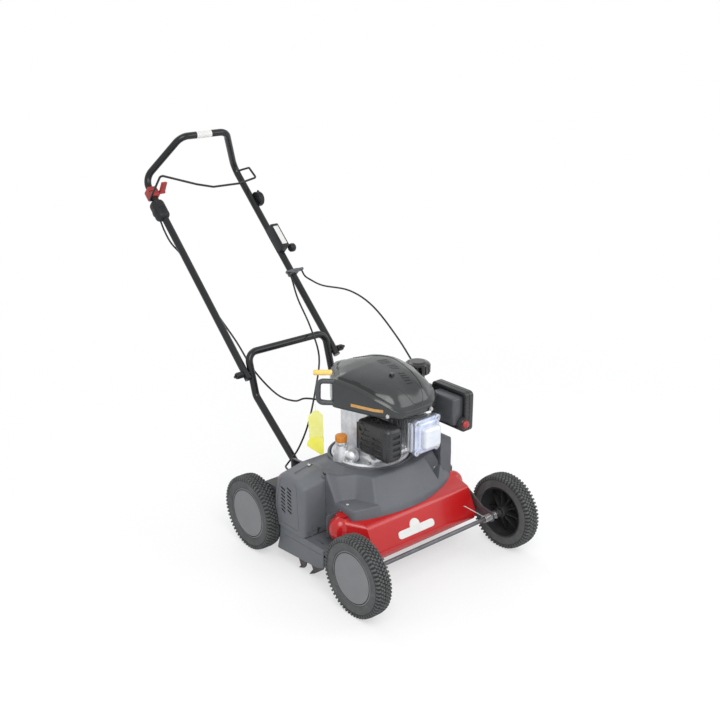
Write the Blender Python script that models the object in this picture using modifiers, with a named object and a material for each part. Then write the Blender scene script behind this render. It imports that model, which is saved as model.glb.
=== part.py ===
"""Petrol lawn scarifier: a bladed rotor under a wheeled deck, belt driven by a small engine.

Metres, +Z up. The machine's front faces -Y and the operator stands on the +Y side.
The origin is on the ground, under the middle of the bounding box.
Stations along the machine ("back") are measured backwards from the front axle.
"""
import math

import bmesh
import bpy
from mathutils import Matrix, Vector

# Driving dimensions, in metres
gap = 0.0003

wheel_radius = 0.110
wheel_width = 0.0462
tread_depth = 0.0026
rim_radius = 0.0744
track_over_tyres = 0.601
wheel_base = 0.463
axle_radius = 0.006

deck_to_wheel = 0.0101
shell_end_inset = 0.0287
sheet = 0.0025
lip_back = 0.055
lip_height = 0.086
fold_back = 0.046
fold_height = 0.104
crease_back = 0.084
crease_drop = 0.022
deck_front_back = 0.160
deck_rear_back = 0.450
deck_top = 0.200
side_plate_thickness = 0.003

rotor_back = 0.262
rotor_height = 0.078
rotor_shaft_radius = 0.010
blade_tip_radius = 0.0700
blade_hub_radius = 0.017
blade_thickness = 0.0025
blade_count = 13
blade_stagger = 46.0
rotor_end_room = 0.0132

engine_x = 0.020
engine_back = 0.265
gearbox_size = 0.130
gearbox_rise = 0.050
drive_shaft_radius = 0.0085
drive_shaft_rise = 0.026
pulley_width = 0.015
belt_width = 0.009
belt_thickness = 0.006
drive_pulley_radius = 0.0215
rotor_pulley_radius = 0.026
groove_depth = 0.008
idler_radius = 0.013
idler_arm_length = 0.046
idler_release = 12.0

belt_cover_front_back = 0.2335
belt_cover_rear_back = 0.370
belt_cover_rise = 0.093
belt_cover_drop = 0.085
belt_cover_overhang = 0.0283
belt_cover_width = 0.082
cover_wall = 0.0025
skirt_front_back = 0.152
skirt_rear_back = 0.352
skirt_bottom = 0.047
cover_front_back = 0.116
cover_rear_back = 0.395
cover_rise = 0.050
cover_side_inset = 0.0192
cover_hump_width = 0.062
cover_hump_rise = 0.062
cover_ring_radius = 0.112
cover_ring_height = 0.008

tube_radius = 0.011
upper_tube_x = 0.1676
handle_angle = 43.9
fold_back_station = 0.6405
fold_height_station = 0.4535
tube_overlap = 0.020
grip_half_width = 0.083
grip_setback = 0.090738
grip_rise = 0.133864
grip_height = 1.088
grip_bend = 0.040
lower_bend_drop = 0.0695
lower_bar_rise = 0.0545
lower_leg_lean = 0.0185
lower_foot_back = 0.425
lower_foot_rise = 0.0275
fold_bolt_radius = 0.004
knob_span = 0.036

bail_radius = 0.0035
brake_cable_radius = 0.0028
control_cable_radius = 0.0028

flange_radius = 0.100
flange_thickness = 0.018
crankcase_height = 0.190
cylinder_x = 0.055
cylinder_size = 0.084
cylinder_rise = 0.126
fin_count = 7
shroud_clearance = 0.007
shroud_depth = 0.088
shroud_wall = 0.003
dome_height = 0.016
dome_radius = 0.100
crank_radius = 0.011

# Places worked out from the driving dimensions
wheel_x = track_over_tyres / 2 - wheel_width / 2
wheel_inner_x = track_over_tyres / 2 - wheel_width
deck_half_width = wheel_inner_x - deck_to_wheel
shell_half_width = deck_half_width - shell_end_inset
rotor_half_length = deck_half_width - rotor_end_room
belt_cover_half_width = deck_half_width + belt_cover_overhang
belt_cover_inner_x = belt_cover_half_width - belt_cover_width
cover_half_width = deck_half_width - cover_side_inset
crease_height = deck_top - crease_drop
gearbox_top = deck_top + gearbox_rise
drive_shaft_height = deck_top + drive_shaft_rise
belt_cover_top = deck_top + belt_cover_rise
belt_cover_bottom = deck_top - belt_cover_drop
cover_top = deck_top + cover_rise
cover_hump_top = cover_top + cover_hump_rise
crankcase_top = gearbox_top + crankcase_height
cylinder_height = gearbox_top + cylinder_rise
shroud_bottom = crankcase_top + shroud_clearance
shroud_top = shroud_bottom + shroud_depth
dome_top = shroud_top + dome_height
lower_foot_height = deck_top + lower_foot_rise
lower_bend_back, lower_bend_height = fold_back_station - lower_leg_lean, fold_height_station - lower_bend_drop
lower_bar_back, lower_bar_height = fold_back_station + lower_leg_lean, fold_height_station + lower_bar_rise
handle_slope = math.radians(handle_angle)
along_handle = Vector((0, math.cos(handle_slope), math.sin(handle_slope)))
above_handle = Vector((0, -math.sin(handle_slope), math.cos(handle_slope)))
lower_tube_x = upper_tube_x - 2 * tube_radius - gap
bend_distance = (grip_height - grip_rise - fold_height_station) / math.sin(handle_slope)
bend_height = grip_height - grip_rise
bend_back = fold_back_station + bend_distance * math.cos(handle_slope)


def smooth_path(corners, bend_radius, steps=5):
    """The corners as a list of points, with each bend replaced by an arc."""
    points = [Vector(corners[0])]
    for before, corner, after in zip(corners, corners[1:], corners[2:]):
        corner = Vector(corner)
        incoming = (corner - Vector(before)).normalized()
        outgoing = (Vector(after) - corner).normalized()
        turn = incoming.angle(outgoing)
        if turn < 0.02:
            points.append(corner)
            continue
        start = corner - incoming * bend_radius * math.tan(turn / 2)
        inward = (outgoing - incoming * outgoing.dot(incoming)).normalized()
        centre = start + inward * bend_radius
        axis = incoming.cross(outgoing).normalized()
        for step in range(steps + 1):
            swing = Matrix.Rotation(turn * step / steps, 3, axis)
            points.append(centre + swing @ (start - centre))
    points.append(Vector(corners[-1]))
    return points


def upper_handle_path():
    """Right tube end, up the right side, over the grip and down the left side; y is from the axle."""
    low = Vector((-upper_tube_x, fold_back_station, fold_height_station)) - along_handle * tube_overlap
    bend = low + along_handle * (tube_overlap + bend_distance)
    grip = Vector((-grip_half_width, bend_back - grip_setback, grip_height))
    half = [low, bend, grip]
    mirrored = [Vector((-p.x, p.y, p.z)) for p in reversed(half)]
    return smooth_path(half + mirrored, grip_bend, 5)


handle_path = upper_handle_path()
handle_rear = max(p.y for p in handle_path) + tube_radius
overall_length = wheel_radius + handle_rear
front_axle_y = wheel_radius - overall_length / 2


def at(x, back, height):
    """A place given by its station behind the front axle."""
    return Vector((x, front_axle_y + back, height))


def on_handle(x, distance, rise=0.0):
    """A place on the upper handle: its distance up the tube from the fold bolt, and its rise above it."""
    return at(x, fold_back_station, fold_height_station) + along_handle * distance + above_handle * rise


def by_bend(x, back, height):
    """A place given from the upper handle's bends."""
    return at(x, bend_back + back, bend_height + height)


# Drawing planes: a flat drawing's own X, Y and thickness axes turned into place
side_on = (math.pi / 2, 0, math.pi / 2)
front_on = (math.pi / 2, 0, 0)
axis_x = (0, math.pi / 2, 0)
flat = (0, 0, 0)
handle_turn = (handle_slope, 0, 0)

for old in list(bpy.data.objects):
    bpy.data.objects.remove(old, do_unlink=True)


def new_collection(name):
    collection = bpy.data.collections.new(name)
    bpy.context.scene.collection.children.link(collection)
    return collection


parts = new_collection("lawn_scarifier")
cutters = new_collection("cutters")


def make_material(name, colour, roughness, metallic=0.0):
    material = bpy.data.materials.new(name)
    material.use_nodes = True
    shader = material.node_tree.nodes["Principled BSDF"]
    shader.inputs["Base Color"].default_value = (*colour, 1.0)
    shader.inputs["Roughness"].default_value = roughness
    shader.inputs["Metallic"].default_value = metallic
    material.diffuse_color = (*colour, 1.0)
    return material


red_paint = make_material("red_paint", (0.62, 0.035, 0.03), 0.35)
grey_plastic = make_material("grey_plastic", (0.13, 0.14, 0.15), 0.5)
dark_plastic = make_material("dark_plastic", (0.05, 0.055, 0.06), 0.45)
black_plastic = make_material("black_plastic", (0.018, 0.019, 0.02), 0.5)
tyre_rubber = make_material("tyre_rubber", (0.05, 0.055, 0.053), 0.75)
belt_rubber = make_material("belt_rubber", (0.02, 0.02, 0.02), 0.7)
cast_aluminium = make_material("cast_aluminium", (0.6, 0.61, 0.63), 0.4, 1.0)
zinc_steel = make_material("zinc_steel", (0.55, 0.56, 0.57), 0.35, 1.0)
blade_steel = make_material("blade_steel", (0.12, 0.11, 0.11), 0.45, 1.0)
black_tube = make_material("black_tube", (0.03, 0.035, 0.035), 0.4)
red_plastic = make_material("red_plastic", (0.55, 0.05, 0.05), 0.45)
orange_plastic = make_material("orange_plastic", (0.75, 0.3, 0.03), 0.45)
yellow_plastic = make_material("yellow_plastic", (0.85, 0.62, 0.1), 0.45)


def mesh_from(shape, name, smooth=False):
    bmesh.ops.recalc_face_normals(shape, faces=shape.faces)
    mesh = bpy.data.meshes.new(name)
    shape.to_mesh(mesh)
    shape.free()
    if smooth:
        mesh.shade_smooth()
        mesh.set_sharp_from_angle(angle=math.radians(35))
    return mesh


def box(width, depth, height):
    shape = bmesh.new()
    bmesh.ops.create_cube(shape, size=1)
    bmesh.ops.scale(shape, verts=shape.verts, vec=(width, depth, height))
    return mesh_from(shape, "box")


def cylinder(radius, length, sides=24, top_radius=None):
    shape = bmesh.new()
    top = radius if top_radius is None else top_radius
    bmesh.ops.create_cone(shape, cap_ends=True, segments=sides, radius1=radius, radius2=top, depth=length)
    return mesh_from(shape, "cylinder", smooth=sides > 8)


def curve_mesh(curve):
    """The curve's own surface as a closed mesh, its caps welded on."""
    holder = bpy.data.objects.new("holder", curve)
    bpy.context.scene.collection.objects.link(holder)
    bpy.context.view_layer.update()
    evaluated = holder.evaluated_get(bpy.context.evaluated_depsgraph_get())
    mesh = bpy.data.meshes.new_from_object(evaluated)
    bpy.data.objects.remove(holder, do_unlink=True)
    shape = bmesh.new()
    shape.from_mesh(mesh)
    bmesh.ops.remove_doubles(shape, verts=shape.verts, dist=0.00001)
    bpy.data.meshes.remove(mesh)
    return shape


def tube(points, radius, resolution=2):
    """A round bar along the points, with closed ends."""
    curve = bpy.data.curves.new("tube", "CURVE")
    curve.dimensions = "3D"
    curve.bevel_depth = radius
    curve.bevel_resolution = resolution
    curve.use_fill_caps = True
    spline = curve.splines.new("POLY")
    spline.points.add(len(points) - 1)
    for target, point in zip(spline.points, points):
        target.co = (*point, 1)
    return mesh_from(curve_mesh(curve), "tube", smooth=True)


def plate(outlines, thickness):
    """A flat piece drawn in X and Y; outlines after the first are holes in it."""
    curve = bpy.data.curves.new("plate", "CURVE")
    curve.dimensions = "2D"
    curve.fill_mode = "BOTH"
    curve.extrude = thickness / 2
    for outline in outlines:
        spline = curve.splines.new("POLY")
        spline.points.add(len(outline) - 1)
        spline.use_cyclic_u = True
        for target, point in zip(spline.points, outline):
            target.co = (point[0], point[1], 0, 1)
    shape = curve_mesh(curve)
    bmesh.ops.dissolve_limit(shape, angle_limit=0.01, verts=shape.verts, edges=shape.edges)
    return mesh_from(shape, "plate")


def circle(radius, centre=(0, 0), sides=20):
    return [(centre[0] + radius * math.cos(2 * math.pi * i / sides),
             centre[1] + radius * math.sin(2 * math.pi * i / sides)) for i in range(sides)]


def rounded(corners, radius, steps=3):
    """A closed outline with its corners rounded."""
    points = []
    count = len(corners)
    for i in range(count):
        corner = Vector(corners[i])
        incoming = (corner - Vector(corners[i - 1])).normalized()
        outgoing = (Vector(corners[(i + 1) % count]) - corner).normalized()
        turn = incoming.angle(outgoing)
        reach = radius * math.tan(turn / 2)
        start, end = corner - incoming * reach, corner + outgoing * reach
        for step in range(steps + 1):
            t = step / steps
            points.append(tuple((1 - t) ** 2 * start + 2 * t * (1 - t) * corner + t ** 2 * end))
    return points


def oblong(width, height, radius, centre=(0, 0), steps=3):
    w, h = width / 2, height / 2
    corners = [(centre[0] + sx * w, centre[1] + sy * h) for sx, sy in ((-1, -1), (1, -1), (1, 1), (-1, 1))]
    return rounded(corners, radius, steps)


def put(name, mesh, material, location=(0, 0, 0), rotation=(0, 0, 0), parent=None):
    """A finished piece in the model's collection."""
    item = bpy.data.objects.new(name, mesh)
    parts.objects.link(item)
    if not mesh.materials:
        mesh.materials.append(material)
    item.location = location
    item.rotation_euler = rotation
    if parent:
        item.parent = parent
        item.matrix_parent_inverse = Matrix.Translation(parent.location).inverted()
    return item


def tool(mesh, location=(0, 0, 0), rotation=(0, 0, 0)):
    """A shape that only cuts or joins another."""
    item = bpy.data.objects.new("tool", mesh)
    cutters.objects.link(item)
    item.location = location
    item.rotation_euler = rotation
    item.hide_render = True
    item.display_type = "WIRE"
    return item


def combine(item, operation, tools):
    for other in tools:
        step = item.modifiers.new(operation.lower(), "BOOLEAN")
        step.operation = operation
        step.solver = "EXACT"
        step.object = other
    return item


def cut(item, *tools):
    return combine(item, "DIFFERENCE", tools)


def join(item, *tools):
    return combine(item, "UNION", tools)


def soften(item, width, segments=2, angle=35):
    bevel = item.modifiers.new("bevel", "BEVEL")
    bevel.width = width
    bevel.segments = segments
    bevel.limit_method = "ANGLE"
    bevel.angle_limit = math.radians(angle)
    return item


def turned(profile):
    """A profile of (radius, height) turned round Z; it runs down its outer side."""
    shape = bmesh.new()
    verts = [shape.verts.new((radius, 0, height)) for radius, height in profile]
    for first, second in zip(verts, verts[1:]):
        shape.edges.new((first, second))
    if profile[0][0] > 0.0005:
        shape.edges.new((verts[-1], verts[0]))
    mesh = bpy.data.meshes.new("turned")
    shape.to_mesh(mesh)
    shape.free()
    return mesh


def turn(item, steps):
    screw = item.modifiers.new("turn", "SCREW")
    screw.steps = steps
    screw.render_steps = steps
    screw.use_merge_vertices = True
    screw.merge_threshold = 0.00005
    screw.use_smooth_shade = False
    return item


def put_turned(name, profile, material, location, rotation=(0, 0, 0), steps=24, parent=None):
    return turn(put(name, turned(profile), material, location, rotation, parent), steps)


def merged(meshes_and_places):
    """Several shapes as one mesh, for one Boolean; they don't touch each other."""
    shape = bmesh.new()
    for mesh, place in meshes_and_places:
        mesh.transform(place)
        shape.from_mesh(mesh)
        bpy.data.meshes.remove(mesh)
    return mesh_from(shape, "merged")


def joint_frame(name, location):
    """An empty on a joint's axis, carrying what turns or slides there."""
    frame = bpy.data.objects.new(name, None)
    frame.empty_display_size = 0.03
    frame.location = location
    bpy.context.scene.collection.objects.link(frame)
    return frame


# Wheels

tread_steps = 20


def tyre_mesh():
    """A turned tyre whose tread faces are raised into staggered blocks."""
    half_step = math.pi / tread_steps
    crown = (wheel_radius - tread_depth) / math.cos(half_step)
    shoulder = crown - 0.0045
    bead = (rim_radius + gap) / math.cos(half_step)
    half = wheel_width / 2
    band = half * 0.30
    outer = [(half, bead), (half, shoulder - 0.006), (half - 0.009, crown), (band, crown)]
    profile = outer + [(-x, r) for x, r in reversed(outer)]
    shape = bmesh.new()
    low = Vector((0, math.sin(half_step), -math.cos(half_step)))
    verts = [shape.verts.new((x, low.y * r, low.z * r)) for x, r in profile]
    edges = [shape.edges.new((verts[i - 1], verts[i])) for i in range(len(verts))]
    bmesh.ops.spin(shape, geom=verts + edges, cent=(0, 0, 0), axis=(1, 0, 0), dvec=(0, 0, 0),
                   angle=2 * math.pi, steps=tread_steps, use_merge=True, use_duplicate=False)
    bmesh.ops.recalc_face_normals(shape, faces=shape.faces)
    blocks = []
    for face in shape.faces:
        centre = face.calc_center_median()
        if math.hypot(centre.y, centre.z) < crown * math.cos(half_step) - 0.0015:
            continue
        turn_angle = math.atan2(centre.y, -centre.z)
        number = round(turn_angle / (2 * half_step)) % tread_steps
        in_middle = abs(centre.x) < band
        if (number % 2 == 0) == in_middle:
            blocks.append(face)
    bmesh.ops.inset_individual(shape, faces=blocks, thickness=0.0014, depth=tread_depth)
    return mesh_from(shape, "tyre")


def wheel_profile():
    """Rim, flat cap and hub in one moulding, open on the inner side."""
    half = wheel_width / 2 - 0.002
    wall = 0.003
    hub = axle_radius + 0.011
    bore = (axle_radius + gap) / math.cos(math.pi / 16)
    cap_back = half - wall
    return [(0, half), (rim_radius - 0.004, half), (rim_radius, half - 0.003), (rim_radius, -half),
            (rim_radius - wall, -half), (rim_radius - wall, cap_back), (hub, cap_back), (hub, -half),
            (bore, -half), (bore, cap_back - wall), (0, cap_back - wall)]


rubber = tyre_mesh()
rim = turned(wheel_profile())
wheel_places = {"front_right": (-1, 0.0), "front_left": (1, 0.0),
                "rear_right": (-1, wheel_base), "rear_left": (1, wheel_base)}
for place, (side, back) in wheel_places.items():
    centre = at(side * wheel_x, back, wheel_radius)
    hub_frame = joint_frame(f"{place}_wheel_axis", centre)
    put(f"{place}_tyre", rubber, tyre_rubber, centre, parent=hub_frame)
    turn(put(f"{place}_wheel", rim, grey_plastic, centre, (0, side * math.pi / 2, 0), hub_frame), 16)


def axle(name, back, collar_x):
    length = track_over_tyres - 2 * 0.0115
    shaft = put(name, cylinder(axle_radius, length, 12), zinc_steel, at(0, back, wheel_radius), axis_x)
    collars = [tool(cylinder(0.011, 0.006, 6), at(side * collar_x, back, wheel_radius), axis_x)
               for side in (-1, 1)]
    return join(shaft, *collars)


bracket_x = shell_half_width + gap + 0.002
bracket_outline = rounded([(-0.014, wheel_radius - 0.014), (0.014, wheel_radius - 0.016),
                           (0.100, wheel_radius + 0.020), (0.112, deck_top - 0.036), (0.090, deck_top - 0.034),
                           (0.030, wheel_radius + 0.020), (-0.014, wheel_radius + 0.014)], 0.008, 1)
front_axle = axle("front_axle", 0.0, wheel_inner_x - gap - 0.003)
join(front_axle, *[tool(plate([bracket_outline], 0.004), at(side * bracket_x, 0, 0), side_on) for side in (-1, 1)])
axle("rear_axle", wheel_base, deck_half_width - 0.012)

# Deck: the red pressed shell, its side plates and the rear flap


def shelf_height(back):
    """Top of the red shelf between its crease and the flat deck."""
    share = (back - crease_back) / (deck_front_back - crease_back)
    return crease_height + share * (deck_top - crease_height)


lobe_radius = 0.010
shell_rear = deck_front_back + 0.018
front_outline = [(lip_back, lip_height - 0.03), (lip_back, lip_height), (fold_back, fold_height),
                 (crease_back, crease_height), (deck_front_back, deck_top), (shell_rear, deck_top),
                 (shell_rear, lip_height - 0.03)]
shell = put("deck_shell", plate([front_outline], 2 * shell_half_width), red_paint, at(0, 0, 0), side_on)
soften(shell, lobe_radius, 2, 45)
hollow_outline = [(lip_back + sheet, lip_height - 0.06), (lip_back + sheet, lip_height),
                  (fold_back + sheet * 1.3, fold_height), (crease_back + sheet, crease_height - sheet),
                  (deck_front_back, deck_top - sheet), (deck_front_back + 0.05, deck_top - sheet),
                  (deck_front_back + 0.05, lip_height - 0.06)]
shell_hollow = tool(plate([hollow_outline], 2 * (shell_half_width - sheet)), at(0, 0, 0), side_on)
soften(shell_hollow, lobe_radius - sheet, 2, 45)
cut(shell, shell_hollow, tool(box(0.6, 0.3, 0.1), at(0, lip_back, lip_height - 0.05)))
lobe_front, lobe_rear, lobe_low = 0.124, 0.180, 0.125
lobe_top = deck_top - 0.0012
lobe_outline = [(lobe_front, lobe_low), (lobe_rear, lobe_low), (lobe_rear, lobe_top),
                (lobe_front + 0.020, lobe_top - 0.005), (lobe_front, lobe_top - 0.030)]
lobe_width = deck_half_width - shell_half_width + 0.0087
lobe_x = deck_half_width - lobe_width / 2
for side in (-1, 1):
    lobe = tool(plate([lobe_outline], lobe_width), at(side * lobe_x, 0, 0), side_on)
    soften(lobe, 0.0077, 1, 30)
    join(shell, lobe)
plate_front = deck_front_back + 0.003
deck_length = deck_rear_back - plate_front
deck_middle = (deck_rear_back + plate_front) / 2
deck_plate = tool(box(2 * deck_half_width, deck_length, sheet), at(0, deck_middle, deck_top - sheet / 2))
join(shell, deck_plate)
step_inner = belt_cover_inner_x
step_top = rotor_height + blade_tip_radius + 0.0065
step_rear = belt_cover_front_back + 0.0065
notch_length = step_rear - sheet - lobe_rear
cut(shell, tool(box(0.1, notch_length, 0.02), at(-step_inner - 0.05, lobe_rear + notch_length / 2, deck_top)))
step_low = step_top - sheet
tread = tool(box(deck_half_width - step_inner + sheet, step_rear - lobe_rear + 0.004, sheet),
             at(-(deck_half_width + step_inner - sheet) / 2, (step_rear + lobe_rear - 0.004) / 2, step_top - sheet / 2))
riser_side = tool(box(sheet, step_rear - lobe_rear + 0.004, deck_top - step_low),
                  at(-step_inner + sheet / 2, (step_rear + lobe_rear - 0.004) / 2, (deck_top + step_low) / 2))
riser_rear = tool(box(deck_half_width - step_inner + sheet, sheet, deck_top - step_low),
                  at(-(deck_half_width + step_inner - sheet) / 2, step_rear - sheet / 2, (deck_top + step_low) / 2))
join(shell, tread, riser_side, riser_rear)

side_plate_x = deck_half_width - sheet / 2
flap_pin_radius = 0.004
flap_pin_back, flap_pin_height = deck_rear_back + 0.006, deck_top - 0.012
plate_top = deck_top - sheet - gap
side_front = lobe_rear + 0.004
lower_side = [(side_front, 0.050), (0.210, 0.036), (0.350, 0.036), (0.400, 0.060),
              (wheel_base + 0.012, wheel_radius - 0.022), (wheel_base + 0.020, wheel_radius + 0.018),
              (deck_rear_back + 0.018, plate_top)]
step_edge, step_underside = step_rear + 0.004, step_low - 0.004
stepped_side = lower_side + [(step_edge, plate_top), (step_edge, step_underside), (side_front, step_underside)]
for name, side, outline in (("side_plate_right", -1, stepped_side),
                            ("side_plate_left", 1, lower_side + [(side_front, plate_top)])):
    holes = [circle(rotor_shaft_radius + 0.0025, (rotor_back, rotor_height), 16),
             circle(axle_radius + gap, (wheel_base, wheel_radius), 12),
             circle(flap_pin_radius + 2 * gap, (flap_pin_back, flap_pin_height), 12)]
    put(name, plate([rounded(outline, 0.006, 1)] + holes, side_plate_thickness), grey_plastic,
        at(side * side_plate_x, 0, 0), side_on)

flap_hinge = at(0, flap_pin_back, flap_pin_height)
flap_frame = joint_frame("rear_flap_axis", flap_hinge)
flap_angle = math.radians(52)
flap_length = 0.120
flap_run = Vector((0, math.cos(flap_angle), -math.sin(flap_angle)))
flap = put("rear_flap", box(2 * deck_half_width - 0.014, flap_length, 0.003), black_plastic,
           flap_hinge + flap_run * (flap_length / 2), (-flap_angle, 0, 0), flap_frame)
join(flap, tool(cylinder(flap_pin_radius, 2 * deck_half_width + 0.004, 12), flap_hinge, axis_x))

# Rotor: staggered hardened blades on a shaft, in bearings on the side plates

rotor_centre = at(0, rotor_back, rotor_height)
rotor_frame = joint_frame("rotor_axis", rotor_centre)
shaft_left_end = deck_half_width + 0.002
shaft_right_end = belt_cover_half_width - 0.003 - cover_wall - 0.001
rotor_shaft_length = shaft_left_end + shaft_right_end
put("rotor_shaft", cylinder(rotor_shaft_radius, rotor_shaft_length, 16), zinc_steel,
    at((shaft_left_end - shaft_right_end) / 2, rotor_back, rotor_height), axis_x, rotor_frame)


def blade_outline():
    """Three hooked points round a hub."""
    points = []
    for arm in range(3):
        base = math.radians(120 * arm)
        for radius, degrees in ((blade_hub_radius * 1.35, -36), (blade_tip_radius * 0.76, -14),
                                (blade_tip_radius, 2), (blade_hub_radius * 1.35, 26)):
            angle = base + math.radians(degrees)
            points.append((radius * math.cos(angle), radius * math.sin(angle)))
    return points


sleeve_length = 2 * rotor_half_length
blade_pitch = (sleeve_length - 2 * 0.008) / (blade_count - 1)
blades = []
for number in range(blade_count):
    x = -rotor_half_length + 0.008 + number * blade_pitch
    swing = Matrix.Rotation(math.radians(number * blade_stagger), 4, "X")
    upright = Matrix.Rotation(math.pi / 2, 4, "Z") @ Matrix.Rotation(math.pi / 2, 4, "X")
    blades.append((plate([blade_outline()], blade_thickness), Matrix.Translation((x, 0, 0)) @ swing @ upright))
blade_tool = tool(merged(blades), rotor_centre)
sleeve = put("rotor_blades", cylinder(blade_hub_radius, sleeve_length, 8), blade_steel, rotor_centre, axis_x,
             rotor_frame)
join(sleeve, blade_tool)
cut(sleeve, tool(cylinder(rotor_shaft_radius + 2 * gap, sleeve_length + 0.02, 12), rotor_centre, axis_x))

bearing_thickness = deck_half_width - side_plate_thickness - rotor_half_length - 2 * gap
bearing_profile = [(rotor_shaft_radius + gap, bearing_thickness / 2), (0.017, bearing_thickness / 2),
                   (0.030, -bearing_thickness / 2 + 0.004), (0.030, -bearing_thickness / 2),
                   (rotor_shaft_radius + gap, -bearing_thickness / 2)]
bearing_x = rotor_half_length + gap + bearing_thickness / 2
for name, side in (("rotor_bearing_right", -1), ("rotor_bearing_left", 1)):
    put_turned(name, bearing_profile, cast_aluminium, at(side * bearing_x, rotor_back, rotor_height),
               (0, -side * math.pi / 2, 0), 16)

# Drive: engine shaft, right-angle gearbox, V-belt and idler

pulley_x = -(shaft_right_end - pulley_width / 2 - 0.0005)


def pulley_profile(radius, bore):
    half = pulley_width / 2
    floor_half = belt_width / 2 + 0.0002
    return [(bore + gap, half), (radius, half), (radius, floor_half + 0.0012), (radius - groove_depth, floor_half),
            (radius - groove_depth, -floor_half), (radius, -floor_half - 0.0012), (radius, -half), (bore + gap, -half)]


drive_back, drive_height = engine_back, drive_shaft_height
drive_frame = joint_frame("drive_axis", at(0, drive_back, drive_height))
drive_shaft_end = engine_x - crank_radius - 0.004
drive_shaft_length = shaft_right_end + drive_shaft_end
put("drive_shaft", cylinder(drive_shaft_radius, drive_shaft_length, 16), zinc_steel,
    at((drive_shaft_end - shaft_right_end) / 2, drive_back, drive_height), axis_x, drive_frame)
put_turned("drive_pulley", pulley_profile(drive_pulley_radius, drive_shaft_radius), zinc_steel,
           at(pulley_x, drive_back, drive_height), axis_x, 16, drive_frame)
put_turned("rotor_pulley", pulley_profile(rotor_pulley_radius, rotor_shaft_radius), zinc_steel,
           at(pulley_x, rotor_back, rotor_height), axis_x, 20, rotor_frame)


def belt_loop(first, first_radius, second, second_radius, steps=8):
    """Outline of a belt round two wheels, in back and height."""
    first, second = Vector(first), Vector(second)
    line = second - first
    lean = math.acos((first_radius - second_radius) / line.length)
    heading = math.atan2(line.y, line.x)
    points = []
    for step in range(steps + 1):
        angle = heading + lean + (2 * math.pi - 2 * lean) * step / steps
        points.append((first.x + first_radius * math.cos(angle), first.y + first_radius * math.sin(angle)))
    for step in range(steps + 1):
        angle = heading - lean + 2 * lean * step / steps
        points.append((second.x + second_radius * math.cos(angle), second.y + second_radius * math.sin(angle)))
    return points


drive_point, rotor_point = (drive_back, drive_height), (rotor_back, rotor_height)
seat_drive = drive_pulley_radius - groove_depth + 2 * gap
seat_rotor = rotor_pulley_radius - groove_depth + 2 * gap
belt_inner = belt_loop(drive_point, seat_drive, rotor_point, seat_rotor)
belt_outer = belt_loop(drive_point, seat_drive + belt_thickness, rotor_point, seat_rotor + belt_thickness)
put("drive_belt", plate([belt_outer, belt_inner], belt_width), belt_rubber, at(pulley_x, 0, 0), side_on)

belt_line = (Vector(rotor_point) - Vector(drive_point)).normalized()
belt_side = Vector((-belt_line.y, belt_line.x))
run_offset = (seat_drive + seat_rotor) / 2 + belt_thickness + idler_radius + 2 * gap
idler_engaged = (Vector(drive_point) + Vector(rotor_point)) / 2 + belt_side * run_offset
arm_rise = math.radians(55)
arm_pivot = idler_engaged + Vector((math.cos(arm_rise), math.sin(arm_rise))) * idler_arm_length
idler_release_turn = math.radians(idler_release)
idler_rest = arm_pivot + Matrix.Rotation(idler_release_turn, 2) @ (idler_engaged - arm_pivot)
arm_direction = (idler_rest - arm_pivot).normalized()
arm_angle = math.atan2(arm_direction.y, arm_direction.x)
arm_frame = joint_frame("idler_arm_axis", at(pulley_x, *arm_pivot))
arm_x = -(deck_half_width + 0.0008 + 0.0015)
arm_plate = put("idler_arm", plate([oblong(idler_arm_length + 0.016, 0.014, 0.006,
                                           (idler_arm_length / 2, 0))], 0.0025), zinc_steel,
                at(arm_x - 0.0008, *arm_pivot), side_on, arm_frame)
arm_plate.rotation_euler = (Matrix.Rotation(math.pi / 2, 4, "Z") @ Matrix.Rotation(math.pi / 2, 4, "X")
                            @ Matrix.Rotation(arm_angle, 4, "Z")).to_euler()
pivot_pin = tool(cylinder(0.004, 0.014, 12), at(arm_x + 0.002, *arm_pivot), axis_x)
idler_stub = tool(cylinder(0.004, 0.017, 12), at(pulley_x + 0.003, *idler_rest), axis_x)
join(arm_plate, pivot_pin, idler_stub)
idler_frame = joint_frame("idler_axis", at(pulley_x, *idler_rest))
idler_half = belt_width / 2 + 0.001
put_turned("idler_pulley", [(0.004 + gap, idler_half), (idler_radius, idler_half), (idler_radius, -idler_half),
                            (0.004 + gap, -idler_half)], black_plastic,
           at(pulley_x - 0.0004, *idler_rest), axis_x, 16, idler_frame)
cut(bpy.data.objects["side_plate_right"],
    tool(cylinder(0.004 + gap, 0.03, 12), at(-side_plate_x, *arm_pivot), axis_x))

gearbox_middle = (deck_top + gap + gearbox_top) / 2
gearbox_height = gearbox_top - deck_top - gap
gearbox = put("gearbox_housing", box(gearbox_size, gearbox_size, gearbox_height), cast_aluminium,
              at(engine_x, engine_back, gearbox_middle))
soften(gearbox, 0.008, 1)
crank_foot = deck_top + 0.016
cut(gearbox,
    tool(cylinder(crank_radius + gap, 0.1, 20), at(engine_x, engine_back, crank_foot - 0.001 + 0.05)),
    tool(cylinder(drive_shaft_radius + gap, 0.2, 16), at(drive_shaft_end + gap - 0.1, drive_back, drive_height), axis_x))

support_x = -(deck_half_width - 0.0162)
support_top = drive_shaft_height + 0.018
support = put("shaft_support", box(0.014, 0.050, support_top - deck_top - gap), cast_aluminium,
              at(support_x, drive_back, (support_top + deck_top + gap) / 2))
soften(support, 0.006, 1)
cut(support, tool(cylinder(drive_shaft_radius + gap, 0.04, 16), at(support_x, drive_back, drive_height), axis_x))

# Covers over the belt and the deck

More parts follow.
